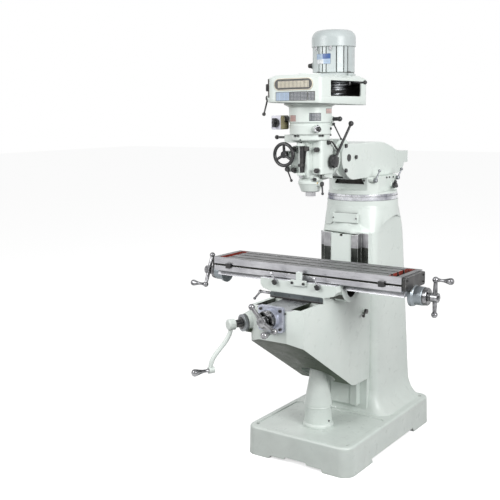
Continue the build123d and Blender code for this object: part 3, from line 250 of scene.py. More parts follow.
def makeInsideBox():  # 1 between two corners
    group, given, out = newGroup("insideBox", "ShaderNodeTree", {"Vector": ["Point", "Low", "High"]},
                                 {"Float": ["Mask"]})
    above = vectorCalc(group, "SUBTRACT", given["Point"], given["Low"])[0]
    below = vectorCalc(group, "SUBTRACT", given["High"], given["Point"])[0]
    x, y, z = parts(group, vectorCalc(group, "MINIMUM", above, below)[0])
    lowest = calc(group, "MINIMUM", calc(group, "MINIMUM", x, y), z)
    return closeGroup(group, out, Mask=calc(group, "GREATER_THAN", lowest, 0.0))


def makePrintedRules():  # rows and columns of printed lines, by height and by width
    group, given, out = newGroup("printedRules", "ShaderNodeTree", {
        "Vector": ["Point"], "Float": ["Row pitch", "Column pitch", "Share"]}, {"Float": ["Mask"]})
    x, y, z = parts(group, given["Point"])
    rows = calc(group, "FRACT", calc(group, "DIVIDE", z, given["Row pitch"]))
    columns = calc(group, "FRACT", calc(group, "DIVIDE", x, given["Column pitch"]))
    rowLine = calc(group, "LESS_THAN", rows, given["Share"])
    columnGap = calc(group, "GREATER_THAN", columns, given["Share"])
    return closeGroup(group, out, Mask=calc(group, "MULTIPLY", rowLine, columnGap))


def makeEdgeWearHighlight():  # scuffed edges that also carry a painted highlight, with the edge's rounded normal
    group, given, out = newGroup("edgeWearHighlight", "ShaderNodeTree", {
        "Vector": ["Point"], "Float": ["Width", "Break scale"]}, {"Float": ["Mask"], "Vector": ["Normal"]})
    rounded = get(group, "ShaderNodeBevel", {"Radius": given["Width"]}, samples=6)
    flat = put(group, "ShaderNodeNewGeometry").outputs["Normal"]
    turn = vectorCalc(group, "DOT_PRODUCT", rounded, flat)["Value"]
    edge = spread(group, turn, *effectRanges["edge"])
    patchy = spread(group, noise(group, given["Point"], given["Break scale"], 4.0), *effectRanges["edgeBreakup"])
    return closeGroup(group, out, Mask=calc(group, "MULTIPLY", edge, patchy), Normal=rounded)


def makePaintedShadeAndGrime():  # painted shade and dirt: darker in corners (ambient occlusion) and on undersides, darker towards the bottom, broken up by noise
    group, given, out = newGroup("paintedShadeAndGrime", "ShaderNodeTree", {
        "Vector": ["Point", "Facing"], "Float": ["Reach", "UnderShade"]}, {"Float": ["Mask"]})
    # painted shade in corners, found by ambient occlusion
    hidden = put(group, "ShaderNodeAmbientOcclusion", {"Distance": given["Reach"]}, samples=6)
    corner = spread(group, hidden.outputs["AO"], *effectRanges["corner"])
    # painted shade on faces that look down
    upward = parts(group, given["Facing"])[2]
    under = calc(group, "MULTIPLY", spread(group, upward, *effectRanges["under"]), given["UnderShade"])
    # darker towards the bottom
    low = spread(group, parts(group, given["Point"])[2], *effectRanges["low"])
    most = calc(group, "MAXIMUM", calc(group, "MAXIMUM", corner, under), low)
    patchy = spread(group, noise(group, given["Point"], effectRanges["shadeGrimeScale"], 5.0), *effectRanges["shadeGrimeSettings"])
    return closeGroup(group, out, Mask=calc(group, "MULTIPLY", most, patchy))


surfaceSkin = makeSurfaceSkin()
insideBox = makeInsideBox()
printedRules = makePrintedRules()
edgeWearHighlight = makeEdgeWearHighlight()
paintedShadeAndGrime = makePaintedShadeAndGrime()


# Looks: what each finish is made of

along = {"x": (0.03, 1.0, 1.0), "z": (1.0, 1.0, 0.03), "none": (1.0, 1.0, 1.0)}  # how the grain runs
plainLook = {"drift": 14.0, "grain": "none", "grainScale": 500.0, "contrast": 0.12, "rough": (0.28, 0.42),
             "metal": 0.0, "bump": 0.02}
alloySkin = {"grainScale": 700.0, "contrast": 0.22, "rough": (0.30, 0.46)}


def look(colour, tint, **changes):  # two colours to drift between, and what differs from the plain look
    return {**plainLook, "colour": colour, "tint": tint, **changes}


looks = {
    "enamel": look((0.80, 0.86, 0.82), (0.75, 0.82, 0.78), drift=3.0, grainScale=330.0, contrast=0.05,
                   rough=(0.26, 0.38), bump=0.03),
    "motorPaint": look((0.56, 0.61, 0.61), (0.48, 0.53, 0.53), drift=6.0, grainScale=330.0, contrast=0.06,
                       rough=(0.20, 0.36), bump=0.05),
    "groundSteel": look((0.48, 0.48, 0.50), (0.36, 0.36, 0.38), drift=7.0, grain="x", grainScale=600.0,
                        contrast=0.7, rough=(0.24, 0.42), metal=1.0, bump=0.03),
    # pale steel painted as a reflection on the tops of the ways
    "paintedPaleSteel": look((0.30, 0.30, 0.31), (0.44, 0.44, 0.45), drift=26.0, grain="z", grainScale=420.0,
                       contrast=0.8, rough=(0.26, 0.46), metal=1.0, bump=0.03),
    # dark steel painted as a dark reflection on the lower ways, and as shade in grooves and slots
    "paintedDarkSteel": look((0.095, 0.10, 0.092), (0.035, 0.039, 0.035), drift=9.0, grain="z", grainScale=420.0,
                     contrast=0.9, rough=(0.22, 0.40), metal=0.8, bump=0.03),
    # the dark tint drifting through the chrome is a painted reflection
    "brightSteel": look((0.30, 0.30, 0.31), (0.09, 0.09, 0.095), drift=42.0, grainScale=900.0,
                        rough=(0.08, 0.20), metal=1.0, bump=0.008),
    "polishedSteel": look((0.60, 0.60, 0.62), (0.36, 0.36, 0.38), drift=26.0, grainScale=900.0,
                          rough=(0.06, 0.16), metal=1.0, bump=0.006),
    "tableTop": look((0.23, 0.23, 0.235), (0.165, 0.165, 0.17), drift=8.0, grain="x", grainScale=600.0,
                     contrast=0.7, rough=(0.36, 0.52), metal=0.9, bump=0.03),
    "satinAlloy": look((0.30, 0.31, 0.33), (0.20, 0.21, 0.22), drift=15.0, metal=1.0, **alloySkin),
    "violetAlloy": look((0.50, 0.52, 0.60), (0.36, 0.38, 0.45), drift=12.0, metal=0.7, **alloySkin),
    "bracketAlloy": look((0.25, 0.28, 0.30), (0.18, 0.20, 0.22), drift=12.0, metal=0.7, **alloySkin),
    # pale and dark patches round the ring are painted reflections
    "ringSteelReflections": look((0.80, 0.81, 0.84), (0.10, 0.105, 0.15), drift=9.0, grain="x", contrast=0.3,
                      rough=(0.18, 0.3), metal=0.9),
    "blackKnob": look((0.012, 0.012, 0.013), (0.020, 0.020, 0.021), drift=30.0, grainScale=900.0,
                      contrast=0.3, rough=(0.14, 0.28), bump=0.01),
    "blackSteel": look((0.030, 0.030, 0.032), (0.050, 0.048, 0.046), drift=30.0, grainScale=800.0,
                       contrast=0.35, rough=(0.30, 0.48), metal=0.35),
    "rubber": look((0.018, 0.018, 0.018), (0.030, 0.029, 0.028), drift=20.0, grainScale=800.0, contrast=0.4,
                   rough=(0.55, 0.75), bump=0.04),
    "wiperSlate": look((0.050, 0.062, 0.066), (0.08, 0.095, 0.10), drift=18.0, grainScale=600.0, contrast=0.3,
                       rough=(0.4, 0.6), bump=0.04),
    "redOxide": look((0.30, 0.045, 0.030), (0.14, 0.022, 0.016), drift=16.0, grainScale=300.0, contrast=0.25,
                     rough=(0.38, 0.6), bump=0.06),
    # near-black colour painted as shade inside holes, slots and hollows
    "recessShade": look((0.030, 0.027, 0.024), (0.055, 0.048, 0.042), grainScale=260.0, contrast=0.4,
                       rough=(0.5, 0.7), bump=0.12),
    "switchFace": look((0.78, 0.78, 0.86), (0.70, 0.70, 0.80), contrast=0.06, rough=(0.25, 0.4)),
    "switchCase": look((0.30, 0.27, 0.16), (0.22, 0.20, 0.12), contrast=0.15, rough=(0.3, 0.5), bump=0.03),
    "plateDark": look((0.022, 0.020, 0.018), (0.034, 0.031, 0.028), contrast=0.2, rough=(0.24, 0.38)),
    "plateCream": look((0.80, 0.74, 0.60), (0.68, 0.62, 0.49), contrast=0.1, rough=(0.26, 0.4)),
    "plateBlue": look((0.42, 0.53, 0.68), (0.36, 0.47, 0.62), contrast=0.06),
    "plateDeepBlue": look((0.030, 0.085, 0.26), (0.045, 0.11, 0.32), contrast=0.08),
    "plateSlate": look((0.075, 0.085, 0.10), (0.11, 0.12, 0.135), contrast=0.1),
    "plateWhite": look((0.78, 0.80, 0.82), (0.70, 0.72, 0.75), contrast=0.06),
    "platePink": look((0.62, 0.40, 0.37), (0.70, 0.50, 0.46), contrast=0.06),
    "brass": look((0.60, 0.42, 0.19), (0.48, 0.32, 0.14), metal=1.0, rough=(0.2, 0.34)),
}


def skinLayer(tree, point, wanted):  # one look's colour, roughness and height at a point
    smooth, rough = wanted["rough"]
    skin = put(tree, "ShaderNodeGroup", {
        "Point": point, "Colour": (*wanted["colour"], 1), "Tint": (*wanted["tint"], 1),
        "Drift scale": wanted["drift"], "Grain stretch": along[wanted["grain"]],
        "Grain scale": wanted["grainScale"], "Grain contrast": wanted["contrast"],
        "Smooth": smooth, "Rough": rough}, node_tree=surfaceSkin).outputs
    return skin["Colour"], skin["Roughness"], calc(tree, "MULTIPLY", skin["Height"], wanted["bump"])


def boxMask(tree, point, boxes):  # the union of boxes given by their low and high corners in millimetres
    mask = None
    for low, high in boxes:
        corners = {"Point": point, "Low": mm(*low), "High": mm(*high)}
        inside = get(tree, "ShaderNodeGroup", corners, node_tree=insideBox)
        mask = inside if mask is None else calc(tree, "MAXIMUM", mask, inside)
    return mask


def ruleMask(tree, point, rowPitch, columnPitch, share):  # pitches in millimetres
    pitches = {"Row pitch": rowPitch / 1000, "Column pitch": columnPitch / 1000}
    return get(tree, "ShaderNodeGroup", {"Point": point, **pitches, "Share": share}, node_tree=printedRules)


def makeFinish(name, base, nodes=(), patches=(), rules=None, edge=None, edgeWidth=1.5, grime=0.0, under=0.5,
               soil=(0.075, 0.09, 0.07), centre=(0, 0, 0), turn=0.0):
    # base covers the nodes, each patch its boxes, rules are printed lines, edge colours scuffed edges with a
    # painted highlight; the shade strength and colour paint shade and dirt
    material = bpy.data.materials.new(name)
    material.use_nodes = True
    tree = material.node_tree
    shader = tree.nodes["Principled BSDF"].inputs
    coordinates = put(tree, "ShaderNodeTexCoord").outputs
    point = coordinates["Object"]
    placed = point
    if turn:
        placed = get(tree, "ShaderNodeMapping", {
            "Vector": point, "Location": mm(*centre), "Rotation": (0, 0, math.radians(turn))},
            vector_type="TEXTURE")
    colour, rough, height = skinLayer(tree, point, looks[base])
    metal = looks[base]["metal"]
    layers = [(cover, boxMask(tree, placed, boxes)) for cover, boxes in patches]
    if rules:
        layers.append((rules[0], ruleMask(tree, point, *rules[1:])))
    for cover, mask in layers:
        colourOver, roughOver, heightOver = skinLayer(tree, point, looks[cover])
        colour = mixColour(tree, mask, colour, colourOver)
        rough = mixValue(tree, mask, rough, roughOver)
        height = mixValue(tree, mask, height, heightOver)
        if metal != looks[cover]["metal"]:
            metal = mixValue(tree, mask, metal, looks[cover]["metal"])
    edgeSettings = {"Point": point, "Width": edgeWidth / 1000, "Break scale": effectRanges["breakScale"]}
    edgeMarks = put(tree, "ShaderNodeGroup", edgeSettings, node_tree=edgeWearHighlight).outputs
    # edges made lighter: scuffs with a painted highlight
    if edge is not None:
        colour = mixColour(tree, edgeMarks["Mask"], colour, (*edge, 1))
    # painted shade and dirt: colour drawn to a dark colour, with less specular there
    if grime:
        shadeGrimeSettings = {"Point": point, "Facing": coordinates["Normal"], "Reach": effectRanges["reach"], "UnderShade": under}
        shadeAndDirt = get(tree, "ShaderNodeGroup", shadeGrimeSettings, node_tree=paintedShadeAndGrime)
        soiled = calc(tree, "MULTIPLY", shadeAndDirt, grime, clamp=True)
        colour = mixColour(tree, soiled, colour, (*soil, 1))
        feed(tree, shader["Specular IOR Level"], spread(tree, soiled, *effectRanges["dull"]))
    bump = get(tree, "ShaderNodeBump", {"Distance": 0.001, "Height": height, "Normal": edgeMarks["Normal"]})
    for label, value in (("Base Color", colour), ("Roughness", rough), ("Normal", bump), ("Metallic", metal)):
        feed(tree, shader[label], value)
    for node in nodes:
        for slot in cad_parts[node].material_slots:
            slot.material = material
    return material


# edge colours: scuffs that also carry a painted highlight
paleEdgeHighlight = (0.84, 0.89, 0.86)
steelEdgeHighlight = (0.62, 0.62, 0.63)
blackEdgeHighlight = (0.10, 0.10, 0.105)


def bothSides(low, high):  # a box on the right and its mirror image on the left
    return [((-high[0], *low[1:]), (-low[0], *high[1:])), (low, high)]


wayBoxes = [((-143.5, 11, 340), (143.5, 13, 1121.5)), *bothSides((60, -28, 340), (101, 13, 1121.5))]
wayTops = bothSides((60, -28, 1046), (143.5, 13, 1121.5))
panelHole = [((-8, -30, 1104), (8, 10, 1120))]
troughBoxes = bothSides((461.5, -412, 976), (509, -203, 1006.4))
troughFloors = bothSides((463.5, -409, 976), (507, -206, 979))
frontSlot = [((-540, -421.6, 958.5), (540, -404, 977.5))]
teeSlots = [((-461.8, -307.5 + shift - 14.5, 976.5), (461.8, -307.5 + shift + 14.5, 1005.5))
            for shift in (-63.5, 0, 63.5)]


def casting(nodes, patches=(), **changes):  # enamelled casting with scuffed and highlighted edges, painted shade and dirt
    return {"base": "enamel", "nodes": nodes, "patches": patches, "edge": paleEdgeHighlight, "edgeWidth": 2.5,
            "grime": 0.45, **changes}


def bareMetal(base, nodes, patches=(), **changes):  # bare metal with a painted highlight on its edges, painted shade and dirt
    return {"base": base, "nodes": nodes, "patches": patches, "edge": steelEdgeHighlight, "grime": 0.4, **changes}


def plain(base, nodes=(), patches=(), **changes):  # no edge highlight, painted shade or dirt unless it says so
    return {"base": base, "nodes": nodes, "patches": patches, **changes}


finishSetups = {  # the nodes that wear it, then patches of other looks in boxes
    "castEnamel": casting([
        "knee_screw_pedestal", "ram_adapter", "quill_housing", "gear_housing", "spindle_cap",
        "table_stop_bracket"], under=0.3),
    # painted dark reflection on the lower ways, painted pale reflection on their tops, painted shade in the
    # panel's hole
    "columnFinish": casting(["column_base"], [
        ("paintedDarkSteel", wayBoxes), ("paintedPaleSteel", wayTops), ("recessShade", panelHole)], edgeWidth=3.0),
    # strong painted shade on the knee's undersides in a dark grey-green, and painted shade in its way grooves
    "kneeFinish": casting(["knee"], [
        ("groundSteel", [((-97, -700, 841.5), (97, 40, 843))]),
        ("paintedDarkSteel", bothSides((59, -640, 800), (129, 40, 841.5)))],
        edgeWidth=3.0, grime=0.6, under=5.0, soil=(0.10, 0.13, 0.085)),
    # painted shade inside the saddle
    "saddleFinish": casting(["saddle"], [
        ("groundSteel", [((-250, -480, 934.5), (250, -190, 937))]),
        ("recessShade", [((-216.5, -396, 856), (216.5, -219, 934.5))])]),
    # painted shade under the ram and inside the turret's slot
    "ramFinish": casting(["ram"], [("recessShade", [((-110, -210, 1360), (110, 560, 1407.4))])], under=0.3),
    "turretFinish": casting(["turret"], [("recessShade", [((-90, 64.5, 1369), (90, 362, 1411))])], grime=0.4),
    # painted shade inside the belt housing
    "beltHousingFinish": casting(["belt_housing"], [
        ("recessShade", [((-163, -475, 1804), (139, 18, 1904.4)), ((-126, -438, 1804), (102, -19, 1914.6))])],
        grime=0.35),
    # strong painted shade and dirt between the motor's fins
    "motorFinish": plain("motorPaint", ["motor_body", "motor_fan_cover"], edge=paleEdgeHighlight, grime=0.85),
    # painted shade in the front groove, T-slots and trough floors
    "tableFinish": bareMetal("groundSteel", ["table"], [
        ("tableTop", [((-540, -430, 1006), (540, -190, 1009))]), ("recessShade", frontSlot),
        ("paintedDarkSteel", teeSlots), ("redOxide", troughBoxes), ("recessShade", troughFloors)], grime=0.5),
    "groundFinish": bareMetal("groundSteel", ["quill", "elevating_screw"]),
    "ringFinish": bareMetal("ringSteelReflections", ["turret_scale_ring"]),
    "chromeFinish": bareMetal("brightSteel", [
        "knee_crank_grip", "cross_feed_screw", "cross_crank_grip", "saddle_lock_lever", "table_screw",
        "table_cranks", "table_grip_left", "table_grip_right"], edge=None),
    "polishedFinish": bareMetal("polishedSteel", [
        "spindle", "table_lock_lever_left", "table_lock_lever_right"], edge=None),
    "alloyFinish": bareMetal("satinAlloy", [
        "spindle_pulley", "motor_pulley", "ram_lock_lever_front", "ram_lock_lever_rear"]),
    "endBracketFinish": bareMetal("bracketAlloy", ["table_end_bracket_left", "table_end_bracket_right"], [
        ("blackSteel", bothSides((530, -430, 930), (552.5, -190, 1010)))], grime=0.5),
    "bracketFinish": bareMetal("violetAlloy", ["cross_feed_bracket"]),
    "knobFinish": plain("blackKnob", [
        "ram_pinion_knob", "drum_switch_knob", "feed_rate_knob", "feed_reverse_knob", "speed_range_lever",
        "belt_tension_lever", "quill_feed_lever", "fine_feed_handwheel"], edge=blackEdgeHighlight, edgeWidth=1.0),
    "blackFinish": plain("blackSteel", [
        "nod_bolts", "head_clamp_nuts", "depth_stop_screw", "depth_stop_nut", "feed_engage_lever",
        "back_gear_lever", "brake_lever", "quill_lock_lever", "knee_lock_lever", "motor_gland",
        "stop_dog_left", "stop_dog_right"], edge=blackEdgeHighlight, edgeWidth=1.0),
    "rubberFinish": plain("rubber", ["v_belt", "saddle_wiper"]),
    "wiperFinish": plain("wiperSlate", edge=blackEdgeHighlight, grime=0.4),
    "brassFinish": plain("brass", edge=(0.7, 0.55, 0.3)),
    "kneeCrankFinish": casting(["knee_crank"], [
        ("satinAlloy", [((-60, 424, 690), (60, 448, 800))]),
        ("blackKnob", [((-60, 448, 700), (60, 487, 800))])],
        edgeWidth=1.5, grime=0.3, centre=(0, -255, 0), turn=155.0),
    "switchFinish": plain("switchCase", ["drum_switch"], [
        ("switchFace", [((-160, -441, 1664), (-100, -432, 1734))]),
        ("blackSteel", [((-113, -406, 1700), (-60, -380, 1730))])], edge=(0.6, 0.6, 0.62)),
    "plateRim": plain("plateCream", edge=(0.78, 0.74, 0.62), grime=0.3),
    "plateField": plain("plateDark", grime=0.3),
    "bluePrint": plain("plateBlue", rules=("plateSlate", 5.2, 26.0, 0.2)),
    "slatePrint": plain("plateSlate", rules=("plateWhite", 6.2, 19.0, 0.16)),
    "pinkPrint": plain("platePink", rules=("plateSlate", 6.5, 12.0, 0.2)),
    "motorPrint": plain("plateBlue", patches=[
        ("plateDeepBlue", [((-2, -230, 2003), (60, -150, 2030))]),
        ("plateWhite", [((-60, -230, 1976), (2, -150, 2000))])], rules=("plateSlate", 7.0, 30.0, 0.14)),
}
finishes = {name: makeFinish(name, **setup) for name, setup in finishSetups.items()}
print("finishes:", len(finishes), "on", sum(len(setup["nodes"]) for setup in finishSetups.values()), "nodes")


# Mesh tools for the small pieces

front, down, up, right, left = (0, -1, 0), (0, 0, -1), (0, 0, 1), (1, 0, 0), (-1, 0, 0)
sharpAngle = 32  # degrees between faces that meet in a sharp edge


def frameOf(axis):  # two directions square to an axis, and the axis
    axis = Vector(axis).normalized()
    guess = Vector((0, 0, 1)) if abs(axis.z) < 0.9 else Vector((1, 0, 0))
    side = guess.cross(axis).normalized()
    return side, axis.cross(side), axis


def joinRings(shape, rings, finish=0, closed=False):  # faces between rings of points, one point is a pole
    pairs = list(zip(rings, rings[1:])) + ([(rings[-1], rings[0])] if closed else [])
    for lower, upper in pairs:
        count = max(len(lower), len(upper))
        for index in range(count):
            after = (index + 1) % count
            corners = []
            for ring, place in ((lower, index), (lower, after), (upper, after), (upper, index)):
                corner = ring[place % len(ring)]
                if corner not in corners:
                    corners.append(corner)
            shape.faces.new(corners).material_index = finish


def addRing(shape, centre, side, other, radius, steps):  # points round a centre, radius in millimetres
    turns = [2 * math.pi * step / steps for step in range(steps)]
    return [shape.verts.new(centre + (side * math.cos(turn) + other * math.sin(turn)) * radius / 1000)
            for turn in turns]


def addLathe(shape, origin, axis, outline, steps=24):  # (radius, height) pairs turned round an axis
    side, other, axis = frameOf(axis)
    rings = []
    for radius, height in outline:
        centre = mm(*origin) + axis * height / 1000
        rings.append(addRing(shape, centre, side, other, radius, steps if radius else 1))
    joinRings(shape, rings)


def addBall(shape, centre, radius, bands=10):
    turns = [math.pi * band / bands for band in range(1, bands)]
    outline = [(radius * math.sin(turn), -radius * math.cos(turn)) for turn in turns]
    addLathe(shape, centre, up, [(0, -radius), *outline, (0, radius)], steps=20)


def addTube(shape, points, radius, steps=14):  # a round bar through points
    line = [mm(*point) for point in points]
    side = None
    rings = []
    for index, place in enumerate(line):
        forward = (line[min(index + 1, len(line) - 1)] - line[max(index - 1, 0)]).normalized()
        side = frameOf(forward)[0] if side is None else (side - forward * side.dot(forward)).normalized()
        rings.append(addRing(shape, place, side, forward.cross(side), radius, steps))
    joinRings(shape, [[shape.verts.new(line[0])], *rings, [shape.verts.new(line[-1])]])


def flatSpot(centre, across, up):  # places a plate's (across, up, lift) on a flat face
    across, up = Vector(across).normalized(), Vector(up).normalized()
    out = across.cross(up)
    return lambda u, v, lift: mm(*centre) + (across * u + up * v + out * lift) / 1000


def frontSpot(*centre):  # the same on a face that looks to the front
    return flatSpot(centre, right, up)


def drumSpot(axis, radius, angle, z):  # the same, bent round an upright drum
    def spot(u, v, lift):
        turn = math.radians(angle) + u / radius
        reach = radius + lift
        return mm(axis[0] + reach * math.cos(turn), axis[1] + reach * math.sin(turn), z + v)
    return spot


def addPlate(shape, spot, width, height, corner, rings, steps=6, spans=8):
    # rings of (inset, lift, finish) run from the seat to the face
    loops = []
    for inset, lift, finish in rings:
        half, tall, bend = width / 2 - inset, height / 2 - inset, max(corner - inset, 0.3)
        turns = [math.pi / 2 * (step + 0.2) / (steps + 0.2) for step in range(steps + 1)]
        left = [(-half + bend * (1 - math.cos(t)), tall - bend + bend * math.sin(t)) for t in turns]
        middle = [(-(half - bend) + 2 * (half - bend) * step / spans, tall) for step in range(1, spans)]
        columns = left + middle + [(-u, v) for u, v in reversed(left)]
        places = [(u, -v) for u, v in columns] + [(u, v) for u, v in reversed(columns)]
        loops.append([shape.verts.new(spot(u, v, lift)) for u, v in places])
        if len(loops) > 1:
            joinRings(shape, loops[-2:], finish)
    count = len(loops[0]) // 2
    for loop, finish in ((loops[0], rings[0][2]), (loops[-1], rings[-1][2])):
        for index in range(count - 1):
            far = 2 * count - 1 - index
            shape.faces.new((loop[index], loop[index + 1], loop[far - 1], loop[far])).material_index = finish


def keepPiece(name, mesh, body, hides=()):  # a finished mesh becomes a piece that rides on a body
    mesh.name = name
    mesh.polygons.foreach_set("use_smooth", [True] * len(mesh.polygons))
    mesh.set_sharp_from_angle(angle=math.radians(sharpAngle))
    piece = bpy.data.objects.new(name, mesh)
    scene.collection.objects.link(piece)
    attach(piece, body)
    if hides:
        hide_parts(*hides)


def makePiece(name, shape, finishNames, body, hides=()):
    bmesh.ops.recalc_face_normals(shape, faces=shape.faces)
    mesh = bpy.data.meshes.new(name)
    shape.to_mesh(mesh)
    shape.free()
    for finish in finishNames:
        mesh.materials.append(finishes[finish])
    keepPiece(name, mesh, body, hides)


# Geometry Nodes for what repeats

def startTree(name, **inputs):
    inputs = {"Geometry": ["Points"], **inputs, "Material": ["Finish"]}
    return newGroup(name, "GeometryNodeTree", inputs, {"Geometry": ["Geometry"]})


def endTree(tree, instances, given, out):  # every tree ends in plain geometry with its finish
    real = get(tree, "GeometryNodeRealizeInstances", {"Geometry": instances})
    dressed = get(tree, "GeometryNodeSetMaterial", {"Geometry": real, "Material": given["Finish"]})
    return closeGroup(tree, out, Geometry=dressed)


def named(tree, label, kind):
    return get(tree, "GeometryNodeInputNamedAttribute", {"Name": label}, data_type=kind)


def turnTo(tree, facing, **settings):  # the turn that points an axis in a direction
    return get(tree, "FunctionNodeAlignRotationToVector", {"Vector": facing}, **settings)


def copies(tree, points, instance, **more):
    return get(tree, "GeometryNodeInstanceOnPoints", {"Points": points, "Instance": instance, **more})


def lifted(tree, geometry, height, share):  # moved up by a share of a height
    offset = get(tree, "ShaderNodeCombineXYZ", {2: calc(tree, "MULTIPLY", height, share)})
    return get(tree, "GeometryNodeTransform", {"Geometry": geometry, "Translation": offset})


def extruded(tree, mesh, faces, height):  # the mesh with faces pushed out, and those faces
    node = put(tree, "GeometryNodeExtrudeMesh", {"Mesh": mesh, "Selection": faces, "Offset Scale": height})
    return node.outputs["Mesh"], node.outputs["Top"]


def narrowed(tree, mesh, faces, scale):
    return get(tree, "GeometryNodeScaleElements", {"Geometry": mesh, "Selection": faces, "Scale": scale})


headShape = {"chamfer": 0.12, "face": 0.86, "step": 0.001, "lift": 0.45, "socket": 0.55}  # shares of a head


def makeBoltHeads():  # screw and bolt heads on points, with a chamfer and a socket or dished top
    tree, given, out = startTree("boltHeads", Int=["Sides"], Float=["Height", "Socket", "Recess"])
    drum = put(tree, "GeometryNodeMeshCylinder", {
        "Vertices": given["Sides"], "Radius": 1.0, "Depth": given["Height"]}).outputs
    mesh, top = extruded(tree, drum["Mesh"], drum["Top"], headShape["chamfer"])
    mesh, rim = extruded(tree, narrowed(tree, mesh, top, headShape["face"]), top, headShape["step"])
    sunk = calc(tree, "MULTIPLY", given["Recess"], -1.0)
    mesh = extruded(tree, narrowed(tree, mesh, rim, given["Socket"]), rim, sunk)[0]
    heads = copies(tree, given["Points"], lifted(tree, mesh, given["Height"], headShape["lift"]),
                   Rotation=turnTo(tree, named(tree, "facing", "FLOAT_VECTOR"), axis="Z"),
                   Scale=named(tree, "size", "FLOAT"))
    return endTree(tree, heads, given, out)


def makeDialMarks():  # graduations round a drum, every few of them longer
    tree, given, out = startTree("dialMarks", Int=["Count", "Long every"], Float=["Radius", "Long"],
                                 Vector=["Mark"])
    circle = get(tree, "GeometryNodeMeshCircle", {"Vertices": given["Count"], "Radius": given["Radius"]})
    bar = get(tree, "GeometryNodeMeshCube", {"Size": given["Mark"]})
    index = get(tree, "GeometryNodeInputIndex")
    whole = calc(tree, "LESS_THAN", calc(tree, "MODULO", index, given["Long every"]), 0.5)
    stretch = mixValue(tree, whole, 1.0, given["Long"])
    marks = copies(tree, circle, lifted(tree, bar, parts(tree, given["Mark"])[2], 0.5),
                   Rotation=turnTo(tree, get(tree, "GeometryNodeInputPosition"), axis="X", pivot_axis="Z"),
                   Scale=get(tree, "ShaderNodeCombineXYZ", {0: 1.0, 1: 1.0, 2: stretch}))
    return endTree(tree, marks, given, out)


def makeBarRow():  # a row of equal bars
    tree, given, out = startTree("barRow", Int=["Count"], Vector=["Start", "Step", "Bar"])
    line = get(tree, "GeometryNodeMeshLine", {
        "Count": given["Count"], "Start Location": given["Start"], "Offset": given["Step"]})
    bar = get(tree, "GeometryNodeMeshCube", {"Size": given["Bar"]})
    return endTree(tree, copies(tree, line, bar), given, out)


def makeThreadRod():  # a core with a helical thread round it
    tree, given, out = startTree("threadRod", Float=["Crest", "Depth", "Turns", "Length"])
    root = calc(tree, "SUBTRACT", given["Crest"], given["Depth"])
    helix = get(tree, "GeometryNodeCurveSpiral", {
        "Resolution": 20, "Rotations": given["Turns"], "Start Radius": root, "End Radius": root,
        "Height": given["Length"]})
    ridge = get(tree, "GeometryNodeCurvePrimitiveCircle", {"Resolution": 4, "Radius": given["Depth"]})
    thread = get(tree, "GeometryNodeCurveToMesh", {"Curve": helix, "Profile Curve": ridge, "Fill Caps": True})
    core = get(tree, "GeometryNodeMeshCylinder", {"Vertices": 28, "Radius": root, "Depth": given["Length"]})
    both = put(tree, "GeometryNodeJoinGeometry", {"Geometry": lifted(tree, core, given["Length"], 0.5)})
    tree.links.new(thread, both.inputs[0])
    return endTree(tree, both.outputs[0], given, out)


def makeBeltCogs():  # cogs along a belt's path, turned to face the pulley
    tree, given, out = startTree("beltCogs", Vector=["Cog"])
    cog = get(tree, "GeometryNodeMeshCube", {"Size": given["Cog"]})
    facing = named(tree, "facing", "FLOAT_VECTOR")
    cogs = copies(tree, given["Points"], cog, Rotation=turnTo(tree, facing, axis="X", pivot_axis="Z"))
    return endTree(tree, cogs, given, out)


boltHeads = makeBoltHeads()
dialMarks = makeDialMarks()
barRow = makeBarRow()
threadRod = makeThreadRod()
beltCogs = makeBeltCogs()


def runTree(name, tree, values, finish, body, points=(), place=None, hides=()):
    # points are (place, facing, size); the tree's result becomes a plain mesh, then a piece
    values = {**values, "Finish": finishes[finish]}
    mesh = bpy.data.meshes.new(name + "Points")
    mesh.from_pydata([mm(*spot) for spot, facing, size in points] or [(0, 0, 0)], [], [])
    if points:
        facings = mesh.attributes.new("facing", "FLOAT_VECTOR", "POINT")
        facings.data.foreach_set("vector", [value for spot, facing, size in points for value in facing])
        sizes = mesh.attributes.new("size", "FLOAT", "POINT")
        sizes.data.foreach_set("value", [size / 1000 for spot, facing, size in points])
    maker = bpy.data.objects.new(name + "Maker", mesh)
    modifier = maker.modifiers.new("nodes", "NODES")
    modifier.node_group = tree
    for item in tree.interface.items_tree:
        if item.in_out == "INPUT" and item.name in values:
            modifier[item.identifier] = values[item.name]
    scene.collection.objects.link(maker)
    made = bpy.data.meshes.new_from_object(maker.evaluated_get(bpy.context.evaluated_depsgraph_get()))
    bpy.data.objects.remove(maker)
    bpy.data.meshes.remove(mesh)
    if place is not None:
        made.transform(place)
    keepPiece(name, made, body, hides)


def onAxis(origin, axis):  # turns a tree's upright result onto an axis
    side, other, axis = frameOf(axis)
    return Matrix.Translation(mm(*origin)) @ Matrix((side, other, axis)).transposed().to_4x4()


def onDrum(axis, radius, angle, z):  # a place on an upright drum and the way it faces
    turn = math.radians(angle)
    out = (math.cos(turn), math.sin(turn), 0)
    return (axis[0] + radius * out[0], axis[1] + radius * out[1], z), out


# Plates on the belt housing, gear housing and motor: bare or with plain printed lines

spindleAxis, motorAxis, screwAxis = (0, -330), (0, -107), (0, -255)
beltFront = -482  # the belt housing's front face

namePlate = {"z": 1876, "size": (214, 56), "corner": 27.5, "rim": 5.0, "flutes": 23, "flutePitch": 7.4,
             "fluteLift": 2, "flute": (4.6, 1.4, 30.0)}


